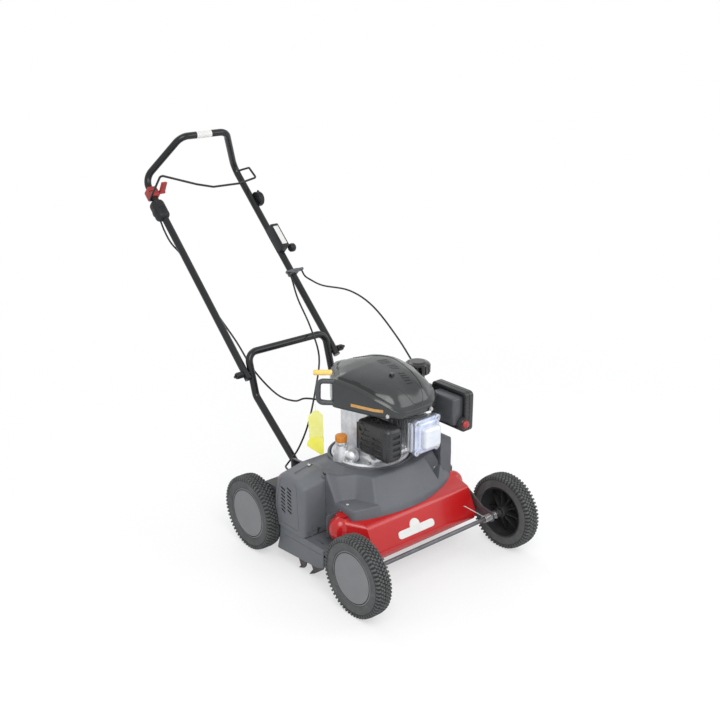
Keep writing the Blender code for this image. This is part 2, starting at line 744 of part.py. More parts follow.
belt_cover_round = 0.014
cover_length = belt_cover_rear_back - belt_cover_front_back
cover_middle = (belt_cover_rear_back + belt_cover_front_back) / 2
cover_span = belt_cover_half_width - belt_cover_inner_x
cover_x = -(belt_cover_half_width + belt_cover_inner_x) / 2
base = deck_top + 2 * gap
deck_edge = deck_half_width + side_plate_thickness / 2 + 2 * gap
overrun = 0.05
belt_cover = put("belt_cover", box(cover_span + overrun, cover_length, belt_cover_top - belt_cover_bottom + overrun),
                 grey_plastic, at(cover_x + overrun / 2, cover_middle, (belt_cover_top + belt_cover_bottom - overrun) / 2))
soften(belt_cover, belt_cover_round, 2)
inner = tool(box(cover_span + 2 * overrun, cover_length - 2 * cover_wall, belt_cover_top - cover_wall),
             at(cover_x + overrun + cover_wall, cover_middle, (belt_cover_top - cover_wall) / 2))
soften(inner, belt_cover_round - cover_wall, 2)
below = tool(box(0.8, 0.4, belt_cover_bottom), at(0, cover_middle, belt_cover_bottom / 2))
under_deck = tool(box(2 * deck_edge, 0.4, base), at(0, step_rear - gap + 0.2, base / 2))
under_step = tool(box(2 * deck_edge, 0.4, step_top + gap), at(0, cover_middle, (step_top + gap) / 2))
open_side = tool(box(2 * (belt_cover_inner_x + gap), 0.4, 0.4), at(0, cover_middle, 0.3))
wheel_cut = tool(cylinder(wheel_radius + 0.006, 0.1, 32), at(-belt_cover_half_width, wheel_base, wheel_radius), axis_x)
cut(inner, tool(cylinder(wheel_radius + 0.006 + cover_wall, 0.1, 32),
                at(-belt_cover_half_width, wheel_base, wheel_radius), axis_x))
cut(belt_cover, inner, below, under_deck, under_step, open_side, wheel_cut)
vents = []
for row in range(4):
    for column in range(2):
        slot = box(0.02, 0.0045, 0.014)
        lean = Matrix.Rotation(math.radians(28), 4, "X")
        vents.append((slot, Matrix.Translation(at(-belt_cover_half_width, 0.322 - column * 0.020,
                                                  0.244 - row * 0.017 - column * 0.006)) @ lean))
cut(belt_cover, tool(merged(vents)))

skirt_x = -(belt_cover_half_width - 0.003)
skirt_inner_x = -(deck_half_width + side_plate_thickness / 2 + 0.0006)
skirt_top = belt_cover_bottom - gap
skirt_corners = [(skirt_front_back, skirt_bottom + 0.012), (skirt_front_back + 0.03, skirt_bottom),
                 (skirt_rear_back + 0.010, skirt_bottom - 0.014), (skirt_rear_back - 0.004, 0.080),
                 (skirt_rear_back - 0.006, skirt_top), (skirt_front_back, skirt_top)]
skirt_outline = rounded(skirt_corners, 0.006, 2)
skirt_width = skirt_inner_x - skirt_x
skirt = put("belt_skirt", plate([skirt_outline], skirt_width), grey_plastic,
            at((skirt_x + skirt_inner_x) / 2, 0, 0), side_on)
inside_corners = [(skirt_front_back + cover_wall, skirt_bottom + 0.012 + cover_wall),
                  (skirt_front_back + 0.03, skirt_bottom + cover_wall),
                  (skirt_rear_back - 0.008 - cover_wall, skirt_bottom - 0.012 + cover_wall),
                  (skirt_rear_back - 0.006 - cover_wall, skirt_top + 0.02), (skirt_front_back + cover_wall, skirt_top + 0.02)]
cut(skirt, tool(plate([rounded(inside_corners, 0.005, 2)], skirt_width),
                at((skirt_x + skirt_inner_x) / 2 + cover_wall, 0, 0), side_on),
    tool(cylinder(wheel_radius + 0.006, 0.1, 32), at(-belt_cover_half_width, wheel_base, wheel_radius), axis_x))

deck_cover_left = cover_half_width
deck_cover_right = -(belt_cover_inner_x - gap)
deck_cover_span = deck_cover_left - deck_cover_right
deck_cover_x = (deck_cover_left + deck_cover_right) / 2
deck_cover_length = cover_rear_back - cover_front_back
deck_cover_middle = (cover_rear_back + cover_front_back) / 2
skirt_low = crease_height + 0.004


def leaning_box(left, right, front, rear, low, high, lean, round_edge):
    """A rounded cutter or joiner between the given faces, its front leaning back."""
    outline = [(front, low), (rear, low), (rear, high), (front + lean, high)]
    shape = tool(plate([outline], right - left), at((left + right) / 2, 0, 0), side_on)
    return soften(shape, round_edge, 2)


cover_round = 0.010
cover_lean = 0.030
cover_floor = skirt_low - 0.03
deck_cover = put("deck_cover", plate([[(cover_front_back, cover_floor), (cover_rear_back, cover_floor),
                                       (cover_rear_back, cover_top), (cover_front_back + cover_lean, cover_top)]],
                                     deck_cover_span), grey_plastic, at(deck_cover_x, 0, 0), side_on)
soften(deck_cover, cover_round, 2)
hump_step = 0.005
hump_outside = cover_half_width - hump_step
hump_inside = hump_outside - cover_hump_width
hump_front, hump_rear = cover_front_back + hump_step, cover_rear_back - hump_step
hump = leaning_box(hump_inside, hump_outside, hump_front, hump_rear, cover_floor,
                   cover_hump_top, cover_lean * 1.6, cover_round)
hump_inner = leaning_box(hump_inside + cover_wall, hump_outside - cover_wall, hump_front + cover_wall,
                         hump_rear - cover_wall, cover_floor - 0.05, cover_hump_top - cover_wall,
                         cover_lean * 1.6, cover_round - cover_wall)
cover_inner = leaning_box(deck_cover_right + cover_wall, cover_half_width - cover_wall,
                          cover_front_back + cover_wall, cover_rear_back - cover_wall, cover_floor - 0.05,
                          cover_top - cover_wall, cover_lean, cover_round - cover_wall)
side_door = tool(box(0.04, belt_cover_rear_back - belt_cover_front_back - 0.012, 0.050),
                 at(deck_cover_right, cover_middle, deck_top + 0.022))
ring = tool(cylinder(cover_ring_radius + 0.010, 0.018, 28),
            at(engine_x, engine_back, cover_top + cover_ring_height - 0.009))
well = tool(cylinder(cover_ring_radius, 0.2, 28), at(engine_x, engine_back, cover_top))
under_outline = [(cover_front_back - 0.02, cover_floor - 0.02),
                 (cover_front_back - 0.02, shelf_height(cover_front_back - 0.02) + 2 * gap),
                 (deck_front_back, deck_top + gap), (cover_rear_back + 0.02, deck_top + gap),
                 (cover_rear_back + 0.02, cover_floor - 0.02)]
under = tool(plate([under_outline], 0.7), at(0, 0, 0), side_on)
join(deck_cover, hump, ring)
cut(deck_cover, under, cover_inner, hump_inner, well, side_door)

# Lower handle: a U-shaped tube on the deck, with its feet flattened

low_half = [at(-lower_tube_x, lower_foot_back, lower_foot_height),
            at(-lower_tube_x, lower_bend_back, lower_bend_height),
            at(-lower_tube_x, lower_bar_back, lower_bar_height)]
low_mirror = [Vector((-p.x, p.y, p.z)) for p in reversed(low_half)]
lower = put("lower_handle", tube(smooth_path(low_half + low_mirror, 0.030, 3), tube_radius, 2), black_tube)
foot_thickness = 0.004
feet = []
for side in (-1, 1):
    foot = tool(box(0.046, 0.050, foot_thickness),
                at(side * lower_tube_x, lower_foot_back, deck_top + gap + foot_thickness / 2))
    stem_height = lower_foot_height - deck_top - gap
    stem = tool(cylinder(tube_radius * 0.96, stem_height + 0.002, 8),
                at(side * lower_tube_x, lower_foot_back, deck_top + gap + stem_height / 2 + 0.001))
    feet += [foot, stem]
bolts = [tool(cylinder(fold_bolt_radius, upper_tube_x + tube_radius + 0.014 - lower_tube_x, 12),
              on_handle(side * (lower_tube_x + upper_tube_x + tube_radius + 0.014) / 2, 0), axis_x)
         for side in (-1, 1)]
join(lower, *feet, *bolts)

# Upper handle: one bent tube with the grip loop, on its fold bolts

fold_frame = joint_frame("handle_fold_axis", on_handle(0, 0))
upper_points = [Vector((p.x, p.y + front_axle_y, p.z)) for p in handle_path]
upper = put("upper_handle", tube(upper_points, tube_radius, 2), black_tube, parent=fold_frame)

knob_hub = 0.010
for name, side in (("right", -1), ("left", 1)):
    outer = upper_tube_x + tube_radius + gap
    knob_frame = joint_frame(f"fold_knob_{name}_axis", on_handle(side * outer, 0))
    knob = put(f"fold_knob_{name}", cylinder(knob_hub, 0.022, 16), black_plastic,
               on_handle(side * (outer + 0.011), 0), axis_x, knob_frame)
    wings = tool(box(0.014, knob_span, 0.008), on_handle(side * (outer + 0.014), 0), (math.radians(60), 0, 0))
    soften(wings, 0.003, 1)
    join(knob, wings)
    cut(knob, tool(cylinder(fold_bolt_radius + gap, 0.030, 12), on_handle(side * outer, 0), axis_x))
cut(upper, tool(cylinder(fold_bolt_radius + gap, 0.5, 12), on_handle(0, 0), axis_x))

# Bail, its brake housing, and the red clamp with the safety trigger

bail_x = upper_tube_x + tube_radius + 0.0098
bail_bar_x = upper_tube_x + tube_radius + 0.0114
bail_right = on_handle(-bail_x, bend_distance - 0.081)
bail_left = on_handle(bail_x, bend_distance - 0.015)
bail_axis = (bail_left - bail_right).normalized()
bail_frame = joint_frame("bail_axis", bail_right)
bail_hook = bail_x - upper_tube_x - tube_radius - 0.001
bail_corners = [bail_right + bail_axis * bail_hook, bail_right,
                by_bend(-bail_bar_x, -0.1387, 0.0339), by_bend(-0.060, -0.1307, -0.0101),
                by_bend(0.010, -0.1157, -0.0291), by_bend(0.120, -0.0987, -0.0341),
                by_bend(bail_bar_x, -0.0927, -0.0241), by_bend(bail_bar_x, -0.0547, 0.0029),
                bail_left, bail_left - bail_axis * bail_hook]
put("bail", tube(smooth_path(bail_corners, 0.006, 2), bail_radius, 1), black_tube, parent=bail_frame)

clamp_at = bend_distance - 0.0575
clamp_length = 0.036
clamp_width = 0.033
clamp = put("clamp_block", box(clamp_width, clamp_length, 0.036), red_plastic,
            on_handle(-upper_tube_x, clamp_at), handle_turn, fold_frame)
soften(clamp, 0.005, 1)
clamp_bore = tool(cylinder(tube_radius + gap, 0.2, 20), on_handle(-upper_tube_x, clamp_at),
                  (handle_slope - math.pi / 2, 0, 0))
cut(clamp, clamp_bore)
trigger_x = -upper_tube_x + clamp_width / 2 + gap
trigger_pivot = on_handle(trigger_x, clamp_at - 0.006, 0.012)
trigger_frame = joint_frame("safety_trigger_axis", trigger_pivot)
trigger = put("safety_trigger", cylinder(0.006, 0.020, 14), red_plastic, trigger_pivot + Vector((0.010, 0, 0)),
              axis_x, trigger_frame)
paddle = tool(box(0.020, 0.040, 0.008), trigger_pivot + Vector((0.010, 0, 0)) + above_handle * 0.018
              + along_handle * 0.004, (handle_slope + math.radians(75), 0, 0))
soften(paddle, 0.0025, 1)
join(trigger, paddle)

housing_at = bend_distance - 0.122
housing_length = 0.070
housing = put("brake_housing", box(0.044, housing_length, 0.040), dark_plastic,
              on_handle(-upper_tube_x - 0.004, housing_at), handle_turn, fold_frame)
soften(housing, 0.013, 2)
housing_bore = tool(cylinder(tube_radius + gap, 0.2, 20), on_handle(-upper_tube_x, housing_at),
                    (handle_slope - math.pi / 2, 0, 0))
cut(housing, housing_bore)

# Far side: throttle disc, clutch panel with its lever, and the cable bracket

disc_at = bend_distance - 0.139
disc_x = upper_tube_x + tube_radius + gap
disc = put("throttle_disc", cylinder(0.024, 0.022, 20), black_plastic, on_handle(disc_x + 0.011, disc_at, 0.004),
           axis_x, fold_frame)
soften(disc, 0.004, 1)
throttle_frame = joint_frame("throttle_lever_axis", on_handle(disc_x + 0.022, disc_at, 0.004))
throttle = put("throttle_lever", cylinder(0.011, 0.006, 16), black_plastic,
               on_handle(disc_x + 0.022 + gap + 0.003, disc_at, 0.004), axis_x, throttle_frame)
stalk = tool(box(0.005, 0.034, 0.008), on_handle(disc_x + 0.022 + gap + 0.0028, disc_at + 0.016, 0.004),
             handle_turn)
soften(stalk, 0.002, 1)
join(throttle, stalk)

panel_at = bend_distance - 0.307
panel_x = upper_tube_x
panel = put("clutch_panel", box(0.030, 0.090, 0.044), black_plastic, on_handle(panel_x, panel_at, 0.020),
            handle_turn, fold_frame)
soften(panel, 0.004, 1)
cut(panel, tool(cylinder(tube_radius + gap, 0.3, 20), on_handle(panel_x, panel_at),
                (handle_slope - math.pi / 2, 0, 0)))
lever_pivot = on_handle(panel_x + 0.015 + gap, panel_at - 0.010, 0.022)
lever_frame = joint_frame("clutch_lever_axis", lever_pivot)
lever = put("clutch_lever", cylinder(0.010, 0.006, 16), black_plastic, lever_pivot + Vector((0.003, 0, 0)),
            axis_x, lever_frame)
lever_run = -along_handle * 0.036 + above_handle * 0.004
lever_bar = tool(tube([lever_pivot + Vector((0.003, 0, 0)), lever_pivot + Vector((0.006, 0, 0)) + lever_run * 0.5,
                       lever_pivot + Vector((0.012, 0, 0)) + lever_run], 0.003, 1))
lever_knob = tool(cylinder(0.014, 0.018, 14), lever_pivot + Vector((0.014, 0, 0)) + lever_run, axis_x)
soften(lever_knob, 0.004, 1)
join(lever, lever_bar, lever_knob)

bracket_at = bend_distance - 0.432
bracket = put("cable_bracket", box(0.066, 0.008, 0.012), black_plastic, on_handle(upper_tube_x, bracket_at, 0.0175),
              handle_turn, fold_frame)
saddle = tool(box(0.030, 0.014, 0.030), on_handle(upper_tube_x, bracket_at, 0.006), handle_turn)
join(bracket, saddle)
cut(bracket, tool(cylinder(tube_radius + gap, 0.2, 20), on_handle(upper_tube_x, bracket_at),
                  (handle_slope - math.pi / 2, 0, 0)))

# Engine: crankcase, finned cylinder, silencer, shroud, tank and air filter

engine = at(engine_x, engine_back, 0)


def by_engine(x, back, height):
    """A place given from the crankshaft's own axis."""
    return engine + Vector((x, back, height))


flange_low = gearbox_top + gap
flange_high = flange_low + flange_thickness
crankcase = put("crankcase", cylinder(flange_radius, flange_thickness, 28), cast_aluminium,
                by_engine(0, 0, flange_low + flange_thickness / 2))
soften(crankcase, 0.003, 1)
body_height = crankcase_top - flange_high + 0.004
case_x, case_back = 0.010, 0.018
case_width, case_depth = 0.102, 0.134
case_body = tool(box(case_width, case_depth, body_height), by_engine(case_x, case_back, crankcase_top - body_height / 2))
soften(case_body, 0.014, 2)
neck_x, neck_back = -0.108, 0.030
neck_low = flange_low + 0.0097
neck_top = neck_low + 0.072
neck = tool(cylinder(0.014, neck_top - neck_low, 16), by_engine(neck_x, neck_back, (neck_top + neck_low) / 2))
neck_root = tool(box(0.076, 0.034, 0.036), by_engine(neck_x + 0.038, neck_back, neck_low + 0.018))
join(crankcase, case_body, neck_root, neck)
cut(crankcase, tool(cylinder(crank_radius + gap, 0.6, 20), by_engine(0, 0, 0.4)))

cap_radius = 0.0175
oil_frame = joint_frame("oil_cap_axis", by_engine(neck_x, neck_back, neck_top))
oil_cap = put("oil_cap", cylinder(cap_radius, 0.020, 10), orange_plastic,
              by_engine(neck_x, neck_back, neck_top + gap + 0.010), parent=oil_frame)
soften(oil_cap, 0.003, 1)

cylinder_front = -0.158
cylinder_rear = case_back - case_depth / 2 - gap
bore_length = cylinder_rear - cylinder_front
cylinder_middle = (cylinder_rear + cylinder_front) / 2
offset_x = cylinder_x - engine_x
block = put("cylinder_block", box(cylinder_size - 0.020, bore_length, cylinder_size - 0.020), cast_aluminium,
            by_engine(offset_x, cylinder_middle, cylinder_height))
fins = []
fin_pitch = (bore_length - 0.030) / (fin_count - 1)
for number in range(fin_count):
    y = cylinder_front + 0.012 + number * fin_pitch
    fins.append((box(cylinder_size, 0.0022, cylinder_size), Matrix.Translation(by_engine(offset_x, y, cylinder_height))))
join(block, tool(merged(fins)))

cover_plate_back = cylinder_front - gap - 0.004
valve_cover = put("valve_cover", box(0.090, 0.008, 0.100), cast_aluminium,
                  by_engine(offset_x, cover_plate_back, cylinder_height))
soften(valve_cover, 0.003, 1)
boss = tool(box(0.066, 0.026, 0.072), by_engine(offset_x + 0.005, cover_plate_back - 0.013, cylinder_height - 0.004))
soften(boss, 0.007, 2)
join(valve_cover, boss)

guard_x0, guard_x1 = -0.105, -0.042
guard_b0, guard_b1 = -0.160, -0.028
guard_low, guard_high = cylinder_height - 0.056, cylinder_height + 0.046
guard_mid = ((guard_x0 + guard_x1) / 2, (guard_b0 + guard_b1) / 2, (guard_low + guard_high) / 2)
guard_wall = 0.002
guard_round = 0.012
guard = put("muffler_guard", box(guard_x1 - guard_x0, guard_b1 - guard_b0, guard_high - guard_low), black_plastic,
            by_engine(*guard_mid))
soften(guard, guard_round, 2)
guard_hollow = tool(box(guard_x1 - guard_x0 - 2 * guard_wall, guard_b1 - guard_b0 + 0.03,
                        guard_high - guard_low - 2 * guard_wall),
                    by_engine(guard_mid[0], guard_mid[1] + guard_wall + 0.015, guard_mid[2]))
soften(guard_hollow, guard_round - guard_wall, 2)
cut(guard, guard_hollow)
slots = []
for number in range(3):
    slots.append((box(0.028, 0.02, 0.008), Matrix.Translation(
        by_engine(guard_mid[0] + 0.004, guard_b0, guard_high - 0.036 - number * 0.0170))))
    for row in range(2):
        slots.append((box(0.02, 0.034, 0.008), Matrix.Translation(
            by_engine(guard_x0, guard_mid[1] - 0.022 + row * 0.048, guard_high - 0.034 - number * 0.0190))))
cut(guard, tool(merged(slots)))
inset = guard_wall + gap
muffler = put("muffler", box(guard_x1 - guard_x0 - 2 * inset, guard_b1 - guard_b0 - guard_wall - 0.004,
                             guard_high - guard_low - 2 * inset), blade_steel,
              by_engine(guard_mid[0], guard_mid[1] + 0.002, guard_mid[2]))
soften(muffler, guard_round, 2)
stub_start = offset_x - cylinder_size / 2 - gap
stub_length = stub_start - guard_x1 + inset + 0.004
stub_back = -0.090
cut(guard, tool(cylinder(0.0105, 0.02, 14), by_engine(guard_x1, stub_back, guard_mid[2]), axis_x))
join(muffler, tool(cylinder(0.010, stub_length, 14),
                   by_engine(stub_start - stub_length / 2, stub_back, guard_mid[2]), axis_x))

shroud_outline = rounded([(-0.144, 0.030), (-0.104, -0.106), (-0.060, -0.162), (0.060, -0.154), (0.118, -0.116),
                          (0.138, -0.045), (0.136, 0.050), (0.076, 0.130), (-0.055, 0.130), (-0.100, 0.082)],
                         0.028, 1)


def shrunk(outline, wall_thickness):
    """The outline drawn in towards its middle by one wall."""
    size = max(Vector(p).length for p in outline)
    factor = 1 - wall_thickness / size * 1.15
    return [(p[0] * factor, p[1] * factor) for p in outline]


shroud = put("blower_housing", plate([shroud_outline], shroud_top - shroud_bottom), dark_plastic,
             by_engine(0, 0, (shroud_top + shroud_bottom) / 2))
soften(shroud, 0.014, 1, 60)
shroud_hollow = tool(plate([shrunk(shroud_outline, shroud_wall)], shroud_top - shroud_bottom + overrun),
                     by_engine(0, 0, (shroud_top + shroud_bottom - overrun) / 2 - shroud_wall))
soften(shroud_hollow, 0.014 - shroud_wall, 1, 60)
cut(shroud, shroud_hollow,
    tool(cylinder(0.080, 0.05, 20), by_engine(0, 0, shroud_top)))
loop_low, loop_high = shroud_bottom + 0.010, shroud_top - 0.004
loop_points = smooth_path([by_engine(-0.134, 0.022, loop_high), by_engine(-0.176, 0.058, loop_high),
                           by_engine(-0.176, 0.058, loop_low), by_engine(-0.134, 0.022, loop_low)], 0.012, 2)
leg_feet = [(0.050, 0.074, crankcase_top), (-0.029, 0.077, crankcase_top),
            (offset_x, cylinder_front + 0.012 + 3 * fin_pitch, cylinder_height + cylinder_size / 2)]
legs = [tool(cylinder(0.006, shroud_top - 0.001 - foot - gap, 10), by_engine(x, back, (shroud_top - 0.001 + foot + gap) / 2))
        for x, back, foot in leg_feet]
join(shroud, tool(tube(loop_points, 0.006, 1)), *legs)

dome_low = shroud_top + gap
dome_profile = [(0, dome_top)]
for step in range(1, 5):
    angle = math.radians(90) * step / 4
    dome_profile.append((dome_radius * math.sin(angle), dome_low + 0.004 + (dome_top - dome_low - 0.004) * math.cos(angle)))
dome_profile.append((dome_radius, dome_low))
inner_dome = [(r * (dome_radius - shroud_wall) / dome_radius, max(dome_low, z - shroud_wall)) for r, z in dome_profile]
inner_dome[-2] = (inner_dome[-1][0], dome_low + 0.002)
dome = put_turned("starter_cover", dome_profile + list(reversed(inner_dome)), grey_plastic, by_engine(0, 0, 0), steps=20)

crank_top = dome_top - shroud_wall - 0.012
crank_frame = joint_frame("crankshaft_axis", by_engine(0, 0, shroud_bottom))
crank = put("crankshaft", cylinder(crank_radius, crank_top - crank_foot, 16), zinc_steel,
            by_engine(0, 0, (crank_top + crank_foot) / 2), parent=crank_frame)
flywheel_low = shroud_bottom + 0.016
join(crank, tool(cylinder(0.072, 0.024, 20), by_engine(0, 0, flywheel_low + 0.012)))

grip_centre = by_engine(-0.158, 0.046, loop_high + 0.0135)
grip_frame = joint_frame("starter_grip_axis", grip_centre)
starter_grip = put("starter_grip", cylinder(0.008, 0.052, 16), yellow_plastic, grip_centre,
                   (math.pi / 2, 0, math.radians(50)), grip_frame)
soften(starter_grip, 0.003, 1)

tank_width, tank_length, tank_height = 0.1467, 0.150, 0.062
tank_left = case_x + case_width / 2 + gap
tank_right, tank_top = tank_left + tank_width, crankcase_top + 0.002
tank_middle = cylinder_rear + 0.0103 + tank_length / 2
tank = put("fuel_tank", box(tank_width, tank_length, tank_height), dark_plastic,
           by_engine((tank_right + tank_left) / 2, tank_middle, tank_top - tank_height / 2))
soften(tank, 0.016, 2)
filler = by_engine(tank_right - 0.032, tank_middle - 0.011, tank_top)
neck_rise = 0.028
join(tank, tool(cylinder(0.022, neck_rise + 0.01, 16), filler + Vector((0, 0, neck_rise / 2 - 0.005))))
cap_frame = joint_frame("fuel_cap_axis", filler + Vector((0, 0, neck_rise)))
fuel_cap = put("fuel_cap", cylinder(0.034, 0.030, 12), black_plastic, filler + Vector((0, 0, neck_rise + gap + 0.015)),
               parent=cap_frame)
soften(fuel_cap, 0.004, 1)

filter_width, filter_length, filter_height = 0.046, 0.110, 0.110
filter_x0 = offset_x + cylinder_size / 2 + 0.053
filter_x1 = filter_x0 + filter_width
filter_b1 = cylinder_middle + 0.01065
filter_b0 = filter_b1 - filter_length
filter_low = cylinder_height - 0.006
filter_high = filter_low + filter_height
filter_mid = ((filter_x0 + filter_x1) / 2, (filter_b0 + filter_b1) / 2, (filter_low + filter_high) / 2)
air_filter = put("air_filter_box", box(filter_x1 - filter_x0, filter_b1 - filter_b0, filter_high - filter_low),
                 black_plastic, by_engine(*filter_mid))
soften(air_filter, 0.012, 2)
carb_start = offset_x + cylinder_size / 2 + gap
carb_length = filter_x0 - carb_start - gap
carburettor = put("carburettor", cylinder(0.014, carb_length, 16), cast_aluminium,
                  by_engine(carb_start + carb_length / 2, cylinder_middle - 0.010, cylinder_height + 0.016), axis_x)
join(carburettor, tool(box(0.026, 0.034, 0.034),
                       by_engine(carb_start + carb_length / 2, cylinder_middle - 0.010, cylinder_height + 0.006)))
bulb_place = by_engine(filter_x0 + 0.014, filter_b0 - gap, filter_low + 0.020)
bulb_frame = joint_frame("primer_bulb_axis", bulb_place)
bulb_profile = [(0, 0.011), (0.004, 0.0100), (0.0075, 0.0065), (0.009, 0.002), (0.009, 0), (0, 0)]
cut(air_filter, tool(cylinder(0.0095, 0.014, 14), bulb_place, (math.pi / 2, 0, 0)))
put_turned("primer_bulb", bulb_profile, red_plastic, bulb_place, (math.pi / 2, 0, 0), 12, bulb_frame)

# Cables, held from the controls to the engine and the belt cover


def through(points, count):
    """A smooth curve through the chosen points."""
    points = [Vector(p) for p in points]
    ends = [points[0] * 2 - points[1]] + points + [points[-1] * 2 - points[-2]]
    result = []
    pieces = len(points) - 1
    for number in range(count + 1):
        place = min(number * pieces / count, pieces - 1e-6)
        i, t = int(place), place - int(place)
        a, b, c, d = ends[i:i + 4]
        result.append(0.5 * (2 * b + (c - a) * t + (2 * a - 5 * b + 4 * c - d) * t ** 2
                             + (3 * b - a - 3 * c + d) * t ** 3))
    return result


brake_start = on_handle(-upper_tube_x - 0.0165, housing_at - housing_length / 2 - 0.0006, -0.004)
brake_run = housing_at - housing_length / 2
brake_exit_x = -upper_tube_x - 0.0165
brake_entry = crankcase_top - 0.013
brake_route = [brake_start, on_handle(brake_exit_x, brake_run - 0.035, -0.010),
               on_handle(brake_exit_x + 0.008, brake_run - 0.075, -0.020),
               on_handle(-upper_tube_x + 0.0096, brake_run * 0.748, -0.0216),
               on_handle(-upper_tube_x + 0.0176, brake_run * 0.434, -0.0186),
               on_handle(-upper_tube_x + 0.0376, brake_run * 0.2085, -0.0211),
               at(-0.120, fold_back_station + 0.0245, fold_height_station - 0.0085),
               at(-0.115, 0.560, brake_entry - 0.027), at(-0.110, 0.480, brake_entry - 0.025),
               at(-0.105, 0.430, brake_entry - 0.003), at(-0.070, 0.360, brake_entry), at(-0.045, 0.335, brake_entry),
               by_engine(case_x - case_width / 2 - 0.0003, 0.070, crankcase_top - 0.013)]
put("brake_cable", tube(through(brake_route, 26), brake_cable_radius, 1), black_plastic)


def by_bracket(x, forward, drop):
    """A place given from the cable bracket."""
    return on_handle(x, bracket_at, 0.0175) - Vector((0, forward, drop))


cable_entry_x = -(belt_cover_half_width - 0.0605)
clutch_start = on_handle(upper_tube_x - 0.026, bracket_at - 0.0055, 0.0175)
clutch_route = [clutch_start, clutch_start - along_handle * 0.02, by_bracket(0.120, 0.0774, 0.0672),
                by_bracket(0.090, 0.1774, 0.1272), at(0.045, 0.560, 0.480), at(-0.010, 0.510, 0.400), at(-0.070, 0.470, 0.320),
                at(-0.130, 0.440, 0.270), at(cable_entry_x + 0.027, belt_cover_rear_back + 0.045, 0.252),
                at(cable_entry_x + 0.007, belt_cover_rear_back + 0.030, 0.250),
                at(cable_entry_x, belt_cover_rear_back + 0.0006, 0.250)]
put("clutch_cable", tube(through(clutch_route, 24), control_cable_radius, 1), black_plastic)

throttle_start = on_handle(upper_tube_x + 0.026, bracket_at - 0.0055, 0.0175)
throttle_route = [throttle_start, throttle_start - along_handle * 0.02, by_bracket(0.200, 0.0374, 0.0272),
                  by_bracket(0.205, 0.0974, 0.0352), by_bracket(0.215, 0.2174, 0.0272),
                  by_bracket(0.225, 0.3174, 0.0572), at(0.238, 0.420, 0.530), at(0.240, 0.330, 0.450),
                  at(0.236, 0.240, 0.400), at(0.200, 0.195, 0.385),
                  by_engine(carb_start + carb_length / 2 + 0.004, cylinder_middle + 0.0105, cylinder_height + 0.008)]
put("throttle_cable", tube(through(throttle_route, 24), control_cable_radius, 1), black_plastic)
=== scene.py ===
import math

import bmesh
import bpy
from mathutils import Matrix, Vector


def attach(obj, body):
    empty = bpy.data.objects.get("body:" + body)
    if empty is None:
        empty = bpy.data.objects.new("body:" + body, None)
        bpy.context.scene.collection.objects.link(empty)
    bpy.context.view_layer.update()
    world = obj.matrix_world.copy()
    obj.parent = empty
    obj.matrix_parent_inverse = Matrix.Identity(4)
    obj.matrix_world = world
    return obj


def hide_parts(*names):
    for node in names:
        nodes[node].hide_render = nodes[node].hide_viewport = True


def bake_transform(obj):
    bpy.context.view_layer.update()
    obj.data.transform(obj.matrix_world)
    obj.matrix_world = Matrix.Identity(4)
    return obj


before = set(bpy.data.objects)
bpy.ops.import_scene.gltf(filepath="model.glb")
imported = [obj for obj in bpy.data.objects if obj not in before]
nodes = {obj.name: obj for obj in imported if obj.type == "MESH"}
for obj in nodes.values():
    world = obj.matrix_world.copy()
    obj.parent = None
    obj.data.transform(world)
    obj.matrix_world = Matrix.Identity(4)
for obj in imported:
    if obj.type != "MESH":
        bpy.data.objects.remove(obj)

print("frame loaded")
scene = bpy.context.scene
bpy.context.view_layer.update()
axleY = -0.5251462  # places along the machine are given back from the front axle


# camera

camera = {"place": (-1.8469, axleY - 1.8586, 1.5859), "down": 20.006, "turn": -40.325, "lens": 54.34, "sensor": 36}
lens = bpy.data.cameras.new("photoCamera")
lens.lens = camera["lens"]
lens.sensor_width = camera["sensor"]
view = bpy.data.objects.new("photoCamera", lens)
scene.collection.objects.link(view)
view.location = camera["place"]
view.rotation_euler = (math.radians(90 - camera["down"]), 0, math.radians(camera["turn"]))
scene.camera = view
scene.view_settings.view_transform = "Standard"


# finishes: dark and light tone, scale of the clouds and of the grain, bump, roughness from and to, other settings

